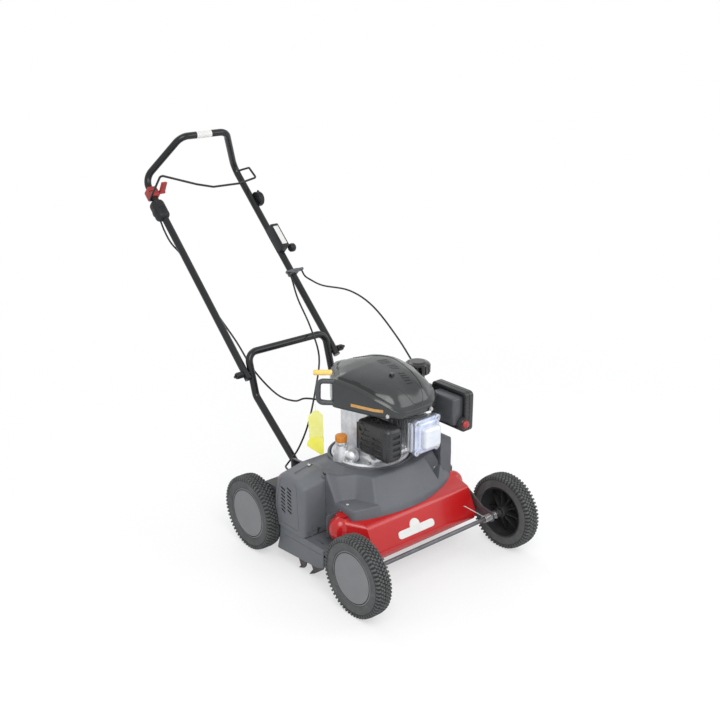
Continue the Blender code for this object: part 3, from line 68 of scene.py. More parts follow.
finishes = {
    "redPaint": ((0.43, 0.009, 0.01), (0.465, 0.011, 0.012), 6, 90, 0.0, (0.22, 0.27),
                 {"coat": 0.25, "specular": 0.4}),
    "coverPlastic": ((0.104, 0.11, 0.123), (0.116, 0.122, 0.136), 14, 900, 0.16, (0.44, 0.56), {"specular": 0.4}),
    "flankPlastic": ((0.118, 0.125, 0.137), (0.13, 0.137, 0.149), 12, 800, 0.14, (0.42, 0.55), {"specular": 0.4}),
    "wheelPlastic": ((0.18, 0.184, 0.19), (0.196, 0.2, 0.206), 18, 900, 0.12, (0.5, 0.6), {"specular": 0.35}),
    # near-black for the tread base, the wheel's back and ring groove, and behind the guard's slots: painted shade
    "wheelGroove": ((0.02, 0.021, 0.022), (0.028, 0.029, 0.03), 18, 900, 0.1, (0.5, 0.6), {"specular": 0.3}),
    "tyreRubber": ((0.072, 0.075, 0.075), (0.104, 0.108, 0.107), 30, 700, 0.3, (0.7, 0.84), {"specular": 0.3}),
    "shroudPlastic": ((0.021, 0.024, 0.025), (0.027, 0.03, 0.031), 10, 500, 0.02, (0.2, 0.26),
                      {"coat": 0.25, "specular": 0.45}),
    "glossyBlack": ((0.006, 0.006, 0.007), (0.01, 0.01, 0.011), 20, 300, 0.02, (0.14, 0.22),
                    {"coat": 0.3, "specular": 0.35}),
    "guardBlack": ((0.026, 0.027, 0.028), (0.034, 0.035, 0.036), 20, 300, 0.03, (0.24, 0.32), {"specular": 0.35}),
    "blackPlastic": ((0.011, 0.012, 0.013), (0.017, 0.018, 0.019), 25, 900, 0.15, (0.4, 0.52), {"specular": 0.3}),
    "blackTube": ((0.009, 0.01, 0.011), (0.013, 0.014, 0.015), 8, 350, 0.02, (0.15, 0.2), {"specular": 0.35}),
    "castMetal": ((0.62, 0.63, 0.65), (0.82, 0.83, 0.85), 45, 520, 0.45, (0.34, 0.52), {"metal": 0.85}),
    "paleMetal": ((0.5, 0.56, 0.72), (0.68, 0.73, 0.86), 50, 420, 0.3, (0.3, 0.44), {"metal": 0.6}),
    "whiteMetal": ((0.66, 0.7, 0.76), (0.74, 0.77, 0.82), 50, 420, 0.15, (0.35, 0.45), {"metal": 0.2}),
    "zincSteel": ((0.5, 0.5, 0.49), (0.64, 0.64, 0.63), 60, 600, 0.1, (0.25, 0.38), {"metal": 1.0}),
    "axleSteel": ((0.11, 0.114, 0.122), (0.15, 0.155, 0.165), 35, 500, 0.15, (0.4, 0.55), {"metal": 0.7}),
    "filterPlastic": ((0.058, 0.062, 0.068), (0.068, 0.072, 0.079), 18, 800, 0.1, (0.32, 0.42), {"specular": 0.4}),
    "darkSteel": ((0.07, 0.066, 0.064), (0.12, 0.113, 0.108), 35, 500, 0.25, (0.4, 0.6), {"metal": 0.9}),
    "redPlastic": ((0.3, 0.022, 0.022), (0.35, 0.03, 0.028), 25, 900, 0.15, (0.38, 0.5)),
    "orangePlastic": ((0.66, 0.235, 0.02), (0.74, 0.285, 0.03), 40, 900, 0.12, (0.38, 0.5)),
    "yellowPlastic": ((0.8, 0.53, 0.12), (0.88, 0.62, 0.18), 40, 900, 0.12, (0.38, 0.5)),
    "tagPale": ((0.78, 0.77, 0.22), (0.84, 0.83, 0.36), 22, 300, 0.05, (0.45, 0.6)),
    "tagYellow": ((0.82, 0.78, 0.07), (0.9, 0.86, 0.2), 22, 300, 0.06, (0.45, 0.6)),
    "paleSticker": ((0.66, 0.66, 0.64), (0.72, 0.72, 0.7), 30, 500, 0.04, (0.32, 0.42)),
    "orangeSticker": ((0.5, 0.25, 0.06), (0.6, 0.34, 0.11), 60, 500, 0.04, (0.32, 0.42)),
}


def addNode(tree, kind, values=(), operation=None):
    node = tree.nodes.new(kind)
    if operation:
        node.operation = operation
    for key, value in dict(values).items():
        node.inputs[key].default_value = value
    return node


def addRange(tree, bounds, results):
    names = ("From Min", "From Max", "To Min", "To Max")
    return addNode(tree, "ShaderNodeMapRange", zip(names, (*bounds, *results)))


def makeFinish(name, dark, light, cloudScale, grainScale, bumpStrength, rough, other=()):
    other = {"metal": 0, "coat": 0, "specular": 0.5, **dict(other)}
    material = bpy.data.materials.new(name)
    material.use_nodes = True
    tree = material.node_tree
    link = tree.links.new
    shader = tree.nodes["Principled BSDF"]
    places = addNode(tree, "ShaderNodeTexCoord")
    mapping = addNode(tree, "ShaderNodeMapping", {"Location": (0.13, 0.37, 0.21)})
    link(places.outputs["Object"], mapping.inputs["Vector"])
    cloud = addNode(tree, "ShaderNodeTexNoise", {"Scale": cloudScale, "Detail": 5, "Roughness": 0.6})
    grain = addNode(tree, "ShaderNodeTexNoise", {"Scale": grainScale, "Detail": 3, "Roughness": 0.5})
    for noise in (cloud, grain):
        link(mapping.outputs["Vector"], noise.inputs["Vector"])
    tones = addNode(tree, "ShaderNodeValToRGB")
    for stop, position, tone in zip(tones.color_ramp.elements, noiseSpan, (dark, light)):
        stop.position, stop.color = position, (*tone, 1)
    link(cloud.outputs["Fac"], tones.inputs["Fac"])
    link(tones.outputs["Color"], shader.inputs["Base Color"])
    dull = addRange(tree, noiseSpan, rough)
    link(grain.outputs["Fac"], dull.inputs["Value"])
    link(dull.outputs["Result"], shader.inputs["Roughness"])
    bump = addNode(tree, "ShaderNodeBump", {"Strength": bumpStrength, "Distance": 0.0004})
    link(grain.outputs["Fac"], bump.inputs["Height"])
    link(bump.outputs["Normal"], shader.inputs["Normal"])
    for socket, value in (("Metallic", other["metal"]), ("Coat Weight", other["coat"]), ("Coat Roughness", 0.08),
                          ("Specular IOR Level", other["specular"])):
        shader.inputs[socket].default_value = value
    return material


noiseSpan = (0.35, 0.65)  # most of a noise texture's values lie between these
finish = {name: makeFinish(name, *look) for name, look in finishes.items()}
print("finishes made")


# shapes: x across, back behind the front axle, height above the ground

turnTo = {"x": Matrix.Rotation(math.pi / 2, 3, "Y"), "y": Matrix.Rotation(-math.pi / 2, 3, "X"),
          "z": Matrix.Identity(3)}


def moved(shape, step):
    bmesh.ops.translate(shape, verts=shape.verts, vec=step)
    return shape


def scaled(shape, sizes):
    bmesh.ops.scale(shape, verts=shape.verts, vec=sizes)
    return shape


def swung(shape, matrix):
    bmesh.ops.rotate(shape, verts=shape.verts, cent=(0, 0, 0), matrix=matrix)
    return shape


def turned(shape, degrees, axis):
    return swung(shape, Matrix.Rotation(math.radians(degrees), 3, axis))


def block(xs, backs, heights):
    shape = bmesh.new()
    bmesh.ops.create_cube(shape, size=1)
    scaled(shape, [span[1] - span[0] for span in (xs, backs, heights)])
    return moved(shape, [(span[0] + span[1]) / 2 for span in (xs, backs, heights)])


def ball(radius, wide, high):
    shape = bmesh.new()
    bmesh.ops.create_uvsphere(shape, u_segments=wide, v_segments=high, radius=radius)
    return shape


def drum(centre, radius, length, axis="z", sides=48):
    shape = bmesh.new()
    bmesh.ops.create_cone(shape, cap_ends=True, segments=sides, radius1=radius, radius2=radius, depth=length)
    return moved(swung(shape, turnTo[axis]), centre)


def slab(outline, low, high, axis):
    # the outline is (back, height) for x, (x, height) for y and (x, back) for z
    at = {"x": lambda p: (low, p[0], p[1]), "y": lambda p: (p[0], low, p[1]), "z": lambda p: (p[0], p[1], low)}[axis]
    step = {"x": (high - low, 0, 0), "y": (0, high - low, 0), "z": (0, 0, high - low)}[axis]
    shape = bmesh.new()
    face = shape.faces.new([shape.verts.new(at(p)) for p in outline])
    raised = bmesh.ops.extrude_face_region(shape, geom=[face])["geom"]
    bmesh.ops.translate(shape, verts=[v for v in raised if isinstance(v, bmesh.types.BMVert)], vec=step)
    bmesh.ops.recalc_face_normals(shape, faces=shape.faces)
    return shape


def softOutline(corners, radii, steps=6):
    count = len(corners)
    if not isinstance(radii, (list, tuple)):
        radii = [radii] * count
    points = []
    for i, radius in enumerate(radii):
        corner = Vector(corners[i])
        before, after = Vector(corners[i - 1]), Vector(corners[(i + 1) % count])
        incoming, outgoing = (corner - before).normalized(), (after - corner).normalized()
        reach = radius * math.tan(incoming.angle(outgoing) / 2)
        if reach < 0.0002:
            points.append(tuple(corner))
            continue
        start, end = corner - incoming * reach, corner + outgoing * reach
        for step in range(steps + 1):
            t = step / steps
            points.append(tuple((1 - t) ** 2 * start + 2 * t * (1 - t) * corner + t * t * end))
    return points


def lathe(profile, centre, axis="z", steps=64, closed=False):
    # the profile is (radius, along the axis)
    shape = bmesh.new()
    verts = [shape.verts.new((radius, 0, along)) for radius, along in profile]
    edges = [shape.edges.new(pair) for pair in zip(verts, verts[1:])]
    if closed:
        edges.append(shape.edges.new((verts[-1], verts[0])))
    bmesh.ops.spin(shape, geom=verts + edges, cent=(0, 0, 0), axis=(0, 0, 1), dvec=(0, 0, 0), angle=2 * math.pi,
                   steps=steps, use_merge=True, use_duplicate=False)
    bmesh.ops.remove_doubles(shape, verts=shape.verts, dist=0.00002)
    bmesh.ops.recalc_face_normals(shape, faces=shape.faces)
    return moved(swung(shape, turnTo[axis]), centre)


def roundEdges(shape, width, segments=3, degrees=35, where=None):
    picked = []
    for edge in shape.edges:
        if len(edge.link_faces) == 2 and edge.calc_face_angle() > math.radians(degrees):
            middle = (edge.verts[0].co + edge.verts[1].co) / 2
            if where is None or where(middle):
                picked.append(edge)
    bmesh.ops.bevel(shape, geom=picked, affect="EDGES", offset=width, offset_type="OFFSET", segments=segments,
                    profile=0.5, material=-1, clamp_overlap=True)
    return shape


def softBlock(xs, backs, heights, width, *choices):
    return roundEdges(block(xs, backs, heights), width, *choices)


def toObject(shape, name="step"):
    mesh = bpy.data.meshes.new(name)
    shape.to_mesh(mesh)
    shape.free()
    item = bpy.data.objects.new(name, mesh)
    scene.collection.objects.link(item)
    return item


def toShape(item):
    # the item's mesh with its modifiers applied
    bpy.context.view_layer.update()
    mesh = bpy.data.meshes.new_from_object(item.evaluated_get(bpy.context.evaluated_depsgraph_get()))
    shape = bmesh.new()
    shape.from_mesh(mesh)
    bpy.data.meshes.remove(mesh)
    bpy.data.objects.remove(item, do_unlink=True)
    return shape


def gathered(*shapes):
    whole = bmesh.new()
    for shape in shapes:
        mesh = bpy.data.meshes.new("step")
        shape.to_mesh(mesh)
        shape.free()
        whole.from_mesh(mesh)
        bpy.data.meshes.remove(mesh)
    return whole


def carved(shape, *others, operation="DIFFERENCE"):
    item = toObject(shape)
    tools = [toObject(other) for other in others]
    for tool in tools:
        step = item.modifiers.new("carve", "BOOLEAN")
        step.operation = operation
        step.solver = "EXACT"
        step.object = tool
    result = toShape(item)
    for tool in tools:
        bpy.data.objects.remove(tool, do_unlink=True)
    bmesh.ops.remove_doubles(result, verts=result.verts, dist=0.00001)
    return result


def joined(shape, *others):
    return carved(shape, *others, operation="UNION")


def bentPath(corners, bend, steps=8):
    points = [Vector(corners[0])]
    for before, corner, after in zip(corners, corners[1:], corners[2:]):
        corner = Vector(corner)
        incoming, outgoing = (corner - Vector(before)).normalized(), (Vector(after) - corner).normalized()
        swing = incoming.angle(outgoing)
        if swing < 0.02:
            points.append(corner)
            continue
        start = corner - incoming * bend * math.tan(swing / 2)
        inward = (outgoing - incoming * outgoing.dot(incoming)).normalized()
        centre = start + inward * bend
        around = incoming.cross(outgoing).normalized()
        for step in range(steps + 1):
            points.append(centre + Matrix.Rotation(swing * step / steps, 3, around) @ (start - centre))
    points.append(Vector(corners[-1]))
    return points


def throughPoints(points, count):
    points = [Vector(p) for p in points]
    ends = [points[0] * 2 - points[1]] + points + [points[-1] * 2 - points[-2]]
    pieces = len(points) - 1
    result = []
    for number in range(count + 1):
        place = min(number * pieces / count, pieces - 1e-6)
        i, t = int(place), place - int(place)
        a, b, c, d = ends[i:i + 4]
        result.append(0.5 * (2 * b + (c - a) * t + (2 * a - 5 * b + 4 * c - d) * t ** 2
                             + (3 * b - a - 3 * c + d) * t ** 3))
    return result


def bar(points, radius, sides=16):
    curve = bpy.data.curves.new("bar", "CURVE")
    curve.dimensions = "3D"
    curve.bevel_depth = radius
    curve.bevel_resolution = (sides - 4) // 2
    curve.use_fill_caps = True
    line = curve.splines.new("POLY")
    line.points.add(len(points) - 1)
    for target, point in zip(line.points, points):
        target.co = (*point, 1)
    item = bpy.data.objects.new("bar", curve)
    scene.collection.objects.link(item)
    shape = toShape(item)
    bmesh.ops.remove_doubles(shape, verts=shape.verts, dist=0.00001)
    bmesh.ops.recalc_face_normals(shape, faces=shape.faces)
    return shape


def nodeCopy(name, edge, segments=2):
    # a merged copy of a CAD node's mesh, with its sharp edges rounded
    shape = bmesh.new()
    shape.from_mesh(nodes[name].data)
    bmesh.ops.remove_doubles(shape, verts=shape.verts, dist=0.00002)
    bmesh.ops.dissolve_limit(shape, angle_limit=0.02, verts=shape.verts, edges=shape.edges)
    return roundEdges(moved(shape, (0, -axleY, 0)), edge, segments, 50)


def setIn(shape, centre, axis, facing):
    if facing < 0:
        turned(shape, 180, "X")
    return moved(swung(shape, turnTo[axis]), centre)


def hexBolt(centre, radius, height, axis="z", facing=1):
    head = roundEdges(drum((0, 0, height / 2), radius, height, sides=6), radius * 0.12, 2, 70)
    washer = drum((0, 0, -radius * 0.08), radius * 1.25, radius * 0.2, sides=24)
    return setIn(gathered(head, washer), centre, axis, facing)


def crossScrew(centre, radius, axis="z", facing=1):
    head = lathe([(0, radius * 0.42), (radius * 0.5, radius * 0.38), (radius * 0.85, radius * 0.22), (radius, 0),
                  (radius, -radius * 0.3), (0, -radius * 0.3)], (0, 0, 0), steps=24)
    slots = [block((-radius * 0.5, radius * 0.5), (-radius * 0.1, radius * 0.1), (radius * 0.15, radius)),
             block((-radius * 0.1, radius * 0.1), (-radius * 0.5, radius * 0.5), (radius * 0.15, radius))]
    return setIn(carved(head, joined(*slots)), centre, axis, facing)


def addPiece(name, shape, surface, slot, stands=None, body="chassis", angle=35, offset=True):
    if offset:
        moved(shape, (0, axleY, 0))
    mesh = bpy.data.meshes.new(name)
    shape.to_mesh(mesh)
    shape.free()
    for item in surface if isinstance(surface, (list, tuple)) else [surface]:
        mesh.materials.append(finish[item])
    mesh.shade_smooth()
    mesh.set_sharp_from_angle(angle=math.radians(angle))
    piece = bpy.data.objects.new(name, mesh)
    scene.collection.objects.link(piece)
    if body:
        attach(piece, body)
    if stands is None:
        stands = [slot]
    if stands:
        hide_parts(*stands)
    return piece


def addDetail(*values, **choices):
    # a piece beside the one that stands for its node
    return addPiece(*values, stands=(), **choices)


# wheels

wheel = {"radius": 0.1098, "halfWidth": 0.0231, "rim": 0.0746, "treadDepth": 0.003, "pitches": 60, "ribs": 9}
wheelX = 0.2774
wheelHeight = 0.11
wheelBase = 0.463


def makeTyre():
    half, crown, rim = wheel["halfWidth"], wheel["radius"] - wheel["treadDepth"], wheel["rim"]
    right = [(rim, half - 0.003), (rim + 0.0012, half - 0.0008), (rim + 0.0035, half), (rim + 0.0065, half - 0.0006),
             (rim + 0.0085, half - 0.0004), (rim + 0.017, half - 0.0002), (rim + 0.0215, half - 0.0006),
             (crown - 0.007, half - 0.0014), (crown - 0.0022, half - 0.004), (crown, half - 0.0085)]
    body = lathe(right + [(r, -x) for r, x in reversed(right)], (0, 0, 0), steps=88, closed=True)
    pitch = 2 * math.pi / wheel["pitches"]
    length = wheel["radius"] * pitch
    # across from, across to, share of the pitch, slant, shift along, low, high
    rows = [(0.0142, 0.0228, 0.5, 0.06, 0.0, -0.0085, -0.0003), (0.0078, 0.0132, 0.66, 0.3, 0.5, -0.002, 0.0),
            (0.0016, 0.0068, 0.68, 0.2, 0.0, -0.002, 0.0), (-0.0068, -0.0016, 0.68, -0.2, 0.5, -0.002, 0.0),
            (-0.0132, -0.0078, 0.66, -0.3, 0.0, -0.002, 0.0), (-0.0228, -0.0142, 0.5, -0.06, 0.5, -0.0085, -0.0003)]
    blocks = bmesh.new()
    for number in range(wheel["pitches"]):
        for low, high, share, slant, shift, foot, top in rows:
            foot, top = crown + foot, wheel["radius"] + top
            skew = Matrix.Identity(4)
            skew[1][2] = slant
            size = Matrix.Diagonal((top - foot, length * share, high - low, 1))
            place = Matrix.Translation(((top + foot) / 2, 0, (low + high) / 2))
            spin = Matrix.Rotation((number + shift) * pitch, 4, "Z")
            made = bmesh.ops.create_cube(blocks, size=1, matrix=spin @ place @ skew @ size)
            upper = sorted(made["verts"], key=lambda v: math.hypot(v.co.x, v.co.y))[4:]
            middle = sum((v.co for v in upper), Vector()) / 4
            for vert in upper:
                vert.co = middle + (vert.co - middle) * 0.88
                if abs(vert.co.z) > half - 0.0042:
                    vert.co.x, vert.co.y = vert.co.x * 0.986, vert.co.y * 0.986
    # the crown between the tread blocks takes the near-black finish: painted shade between the blocks
    for face in body.faces:
        if face.calc_center_median().to_2d().length > wheel["radius"] - 0.0125:
            face.material_index = 1
    return gathered(body, blocks)


def makeWheel():
    rim = wheel["rim"] - 0.0003
    profile = [(0, 0.0207), (rim - 0.006, 0.0207), (rim - 0.0055, 0.0188), (rim - 0.004, 0.0188),
               (rim - 0.0035, 0.0209), (rim - 0.002, 0.0211), (rim, 0.0198), (rim, -0.0205), (rim - 0.001, -0.0211),
               (rim - 0.0032, -0.0211), (rim - 0.004, -0.0195), (rim - 0.0052, 0.0135), (rim - 0.0075, 0.0165),
               (0.0205, 0.0165), (0.018, 0.014), (0.0165, -0.0195), (0.015, -0.0211), (0.0064, -0.0211),
               (0.0064, 0.014), (0, 0.014)]
    shell = lathe(profile, (0, 0, 0), steps=96)
    ribs = []
    for number in range(wheel["ribs"]):
        rib = slab([(0.016, 0.017), (rim - 0.004, 0.017), (rim - 0.004, 0.009), (0.016, -0.012)], -0.0011,
                   0.0011, "y")
        ribs.append(turned(roundEdges(rib, 0.0004, 1), number * 360 / wheel["ribs"], "Z"))
    whole = gathered(shell, *ribs)
    # the back of the wheel and the ring groove on its face take the near-black finish: painted shade
    for face in whole.faces:
        middle = face.calc_center_median()
        reach = math.hypot(middle.x, middle.y)
        if middle.z < 0.018 or (rim - 0.0062 < reach < rim - 0.003 and middle.z < 0.0205):
            face.material_index = 1
    return whole


tyreShape, wheelShape = makeTyre(), makeWheel()
for place, side, back in (("front_right", -1, 0), ("front_left", 1, 0), ("rear_right", -1, wheelBase),
                          ("rear_left", 1, wheelBase)):
    for kind, model, surface in (("tyre", tyreShape, ["tyreRubber", "wheelGroove"]),
                                 ("wheel", wheelShape, ["wheelPlastic", "wheelGroove"])):
        shape = moved(turned(model.copy(), side * 90, "Y"), (side * wheelX, back, wheelHeight))
        node = f"{place}_{kind}"
        addPiece(node.title().replace("_", ""), shape, surface, node, body=f"{place}_wheel", angle=40)
print("wheels made")


# axles, with nuts, a spring and its wire leg on the far side

axles = {"springFrom": 0.188, "springTo": 0.232, "springRadius": 0.0095, "wire": 0.0012, "turns": 9}
springSteps = axles["turns"] * 14
coil = []
for step in range(springSteps + 1):
    angle = 2 * math.pi * axles["turns"] * step / springSteps
    coil.append((axles["springFrom"] + (axles["springTo"] - axles["springFrom"]) * step / springSteps,
                 axles["springRadius"] * math.sin(angle), wheelHeight + axles["springRadius"] * math.cos(angle)))
leg = [(0.188, 0.001, 0.1195), (0.17, 0.014, 0.134), (0.15, 0.034, 0.15), (0.147, 0.041, 0.15)]
addPiece("frontAxle", nodeCopy("front_axle", 0.0008), "axleSteel", "front_axle", angle=30)
addDetail("axleSpring", gathered(bar(coil, axles["wire"], 8), bar(throughPoints(leg, 12), axles["wire"], 8),
                                 lathe([(0.0062, 0.0035), (0.0115, 0.0035), (0.0125, 0.0015), (0.0125, -0.0015),
                                        (0.0062, -0.0015)], (0.2385, 0, wheelHeight), "x", 24, True)), "zincSteel",
          "front_axle", angle=50)
addPiece("rearAxle", nodeCopy("rear_axle", 0.0006), "zincSteel", "rear_axle", angle=30)
print("axles made")


# deck shell: one folded sheet with rounded ends, and the flat deck behind it

shellLook = {"halfWidth": 0.2155, "rightEnd": -0.175, "edge": 0.01, "sheet": 0.0025, "deckHalfWidth": 0.2442,
             "deckSheet": (0.1975, 0.2), "deckBack": (0.2385, 0.45)}
front = [(0.055, 0.056), (0.055, 0.086), (0.046, 0.104), (0.084, 0.178), (0.16, 0.2), (0.178, 0.2), (0.178, 0.056)]
half, sheet = shellLook["halfWidth"], shellLook["sheet"]
fascia = roundEdges(slab(front, shellLook["rightEnd"], half, "x"), shellLook["edge"], 6, 45,
                    lambda m: m.x > shellLook["rightEnd"] + 0.001)
inner = [(0.0575, 0.026), (0.0575, 0.086), (0.04925, 0.104), (0.0865, 0.1755), (0.16, 0.1975), (0.21, 0.1975),
         (0.21, 0.026)]
fascia = carved(fascia, roundEdges(slab(inner, shellLook["rightEnd"] - 0.001, half - sheet, "x"), 0.0075, 6, 45),
                block((-0.3, 0.3), (-0.1, 0.21), (-0.02, 0.086)))
# on the right the folded front narrows into the lobe
narrowed = [(0.138, 0.128), (0.124, 0.135), (0.117, 0.155), (0.127, 0.188), (0.152, 0.199), (0.172, 0.199),
            (0.172, 0.13)]
frontEnd = slab(front, -0.213, shellLook["rightEnd"] + 0.0002, "x")
for vert in frontEnd.verts:
    if vert.co.x < -0.2:
        near = min(range(len(front)), key=lambda n: math.dist(front[n], (vert.co.y, vert.co.z)))
        vert.co.y, vert.co.z = narrowed[near]
roundEdges(frontEnd, 0.0098, 6, 25, lambda m: -0.205 < m.x < shellLook["rightEnd"] - 0.001)
frontEnd = carved(frontEnd, block((-0.25, -0.14), (0.13, 0.3), (0.0, 0.1935)))
deck = shellLook["deckHalfWidth"]
lobeSize, lobeAt = (0.03, 0.037), (0.1505, 0.162)
lobes = []
for side in (-1, 1):
    lobe = moved(scaled(ball(1, 64, 32), (0.034, *lobeSize)), (side * (deck - 0.034), *lobeAt))
    inward = moved(scaled(drum((0, 0, 0), 1, 1, "x", 64), (0.05, *lobeSize)), (side * (deck - 0.059), *lobeAt))
    lobes.append(joined(lobe, inward))
frontPlate = block((-0.19, 0.21), (0.163, 0.24), shellLook["deckSheet"])
deckPlate = block((-0.204, deck), shellLook["deckBack"], shellLook["deckSheet"])
fascia = joined(fascia, *lobes)
fascia = joined(fascia, frontPlate, deckPlate)
addPiece("deckShellRed", gathered(roundEdges(fascia, 0.0005, 1, 60), frontEnd), "redPaint", "deck_shell", angle=28)
deckCorner = block((-deck, -0.2045), shellLook["deckBack"], shellLook["deckSheet"])
addDetail("deckCornerSheet", roundEdges(deckCorner, 0.0005, 1, 60), "guardBlack", "deck_shell")

# the bare place of the label on the fascia: a plain pill lying on the sheet
slope = Vector((0, 0.038, 0.074)).normalized()
outward = Vector((0, -0.074, 0.038)).normalized()
pill = softOutline([(-0.066, -0.0108), (0.066, -0.0108), (0.066, 0.0108), (-0.066, 0.0108)], 0.0107, 8)
shape = gathered(slab(pill, 0, 0.0004, "z"), drum((-0.002, 0.0125, 0.00025), 0.018, 0.0005, "z", 48))
tilt = Matrix((Vector((1, 0, 0)), slope, outward)).transposed()
addDetail("bareLabel", moved(swung(shape, tilt), Vector((-0.0155, 0.0588, 0.129)) + outward * 0.0001), "paleSticker",
          "deck_shell")
for name in ("side_plate_right", "side_plate_left"):
    shape = nodeCopy(name, 0.0007)
    if name == "side_plate_right":
        shape = carved(shape, block((-0.3, -0.2), (0.05, 0.233), (0.1135, 0.3)))
    addPiece(name.title().replace("_", ""), shape, "coverPlastic", name, angle=30)

flap = {"halfWidth": 0.237, "length": 0.12, "sheet": 0.0015, "angle": 52, "ribs": 4, "pitch": 0.026,
        "hinge": (0, 0.456, 0.188)}
half, long = flap["sheet"], flap["length"]
sheetOutline = softOutline([(0, -half), (long, -half), (long, half), (0, half)], 0.0012, 3)
sheetShape = slab(sheetOutline, -flap["halfWidth"], flap["halfWidth"], "x")
ribEnd = flap["halfWidth"] - 0.01
ribs = [bar([(x, 0.028 + n * flap["pitch"], 0.0012) for x in (-ribEnd, ribEnd)], 0.0016, 8)
        for n in range(flap["ribs"])]
flapShape = moved(turned(gathered(sheetShape, *ribs), -flap["angle"], "X"), flap["hinge"])
pin = drum(flap["hinge"], 0.004, 0.4924, "x", 24)
addPiece("rearFlap", gathered(flapShape, pin), "blackPlastic", "rear_flap", body="flap")
print("deck made")


# rotor and drive

for name, surface, body in (("rotor_blades", "darkSteel", "rotor"), ("idler_arm", "zincSteel", "idler_arm"),
                            ("gearbox_housing", "castMetal", "chassis"), ("shaft_support", "castMetal", "chassis")):
    addPiece(name.title().replace("_", ""), nodeCopy(name, 0.0005), surface, name, body=body, angle=30)
# nodes that show as they are, with a finish
for surface, names in {"zincSteel": ("rotor_shaft", "drive_shaft", "crankshaft", "rotor_pulley", "drive_pulley"),
                       "castMetal": ("rotor_bearing_right", "rotor_bearing_left"), "darkSteel": ("muffler",),
                       "tyreRubber": ("drive_belt",), "blackPlastic": ("idler_pulley",)}.items():
    for name in names:
        nodes[name].data.materials.clear()
        nodes[name].data.materials.append(finish[surface])
print("rotor and drive dressed")


# belt cover and its skirt

beltCover = {"front": 0.2335, "rear": 0.37, "top": 0.293, "outer": -0.2725, "inner": -0.1908, "edge": 0.017,
             "wall": 0.0025, "vents": (0.324, 0.2955), "ventRows": 7, "wheelCut": 0.116}
near, rear, top, outer = (beltCover[key] for key in ("front", "rear", "top", "outer"))
edge, wheelCut = beltCover["edge"], beltCover["wheelCut"]
wall = beltCover["wall"]
sideOutline = softOutline([(near, 0.065), (rear + 0.002, 0.065), (rear, 0.2), (0.352, top), (0.262, top),
                           (near, 0.272)], [0, 0, 0.1, 0.05, 0.03, 0.018], 10)
cover = slab(sideOutline, outer, beltCover["inner"], "x")
roundEdges(cover, edge, 5, 60, lambda m: m.x < outer + 0.001)
innerOutline = softOutline([(near + wall, 0.0), (rear - wall, 0.0), (rear - wall, 0.2), (0.351, top - wall),
                            (0.263, top - wall), (near + wall, 0.271)], [0, 0, 0.1, 0.048, 0.03, 0.016], 10)
hollow = slab(innerOutline, outer + wall, -0.15, "x")
roundEdges(hollow, edge - wall, 5, 60, lambda m: m.x < outer + wall + 0.001)
besideWheel = (outer, wheelBase, wheelHeight)
wheelHole = drum(besideWheel, wheelCut, 0.1, "x", 72)
hollow = carved(hollow, drum(besideWheel, wheelCut + wall, 0.1, "x", 72))
for part in (cover, hollow):
    for vert in part.verts:
        vert.co.z -= max(0.0, beltCover["inner"] - vert.co.x) * 0.2 * max(0.0, min(1.0, (vert.co.z - 0.24) / 0.045))
below = block((-0.4, 0.4), (0.1, 0.5), (-0.1, 0.115))
beside = block((-0.2463, 0.3), (0.2397, 0.5), (-0.1, 0.2006))
cover = carved(cover, hollow, below, beside, wheelHole)
vents = []
for row in range(beltCover["ventRows"]):
    for column, back in enumerate(beltCover["vents"]):
        middle = (outer, back, 0.2335 - row * 0.0112 + column * 0.0065)
        slot = block((-0.01, 0.01), (-0.0102, 0.0102), (-0.003, 0.003))
        vents.append(moved(turned(roundEdges(slot, 0.0022, 3, 60, lambda m: abs(m.x) < 0.001), 16, "X"), middle))
ring = [(0.253, 0.128), (0.354, 0.128), (0.3485, 0.205), (0.334, 0.262), (0.3, 0.274), (0.262, 0.262)]
ringOut = softOutline(ring, 0.012, 5)
ringIn = softOutline([(0.2545, 0.1295), (0.3522, 0.1295), (0.347, 0.205), (0.3328, 0.2605), (0.3, 0.2722),
                      (0.2632, 0.2607)], 0.011, 5)
groove = carved(slab(ringOut, -0.2735, -0.2717, "x"), slab(ringIn, -0.28, -0.26, "x"))
groove = carved(groove, drum(besideWheel, wheelCut + 0.006, 0.1, "x", 48))
topLine = moved(turned(softBlock((-0.03, 0.03), (-0.006, 0.006), (-0.0016, 0.02), 0.0015, 2, 60), -11, "Y"),
                (-0.221, 0.296, 0.2862))
frontSeam = block((-0.1955, -0.1943), (0.2, 0.2347), (0.05, 0.35))
lowLine = block((-0.28, -0.1), (0.2, 0.2346), (0.1275, 0.129))
cover = carved(cover, *vents)
cover = carved(cover, groove, topLine, frontSeam, lowLine)
closing = carved(slab(innerOutline, -0.193, -0.1908, "x"), block((-0.3, 0.0), (0.1, 0.5), (-0.1, 0.262)))
cover = gathered(cover, block((-0.201, -0.1893), (0.2361, 0.248), (0.2012, 0.2795)), closing)
addPiece("beltCoverShell", cover, "flankPlastic", "belt_cover", angle=30)

# a glossy black sheet just behind the vent slots: painted shade seen through them
ventLiner = block((-0.2685, -0.2675), (0.278, 0.34), (0.14, 0.252))
addDetail("ventLiner", ventLiner, "glossyBlack", "belt_cover")

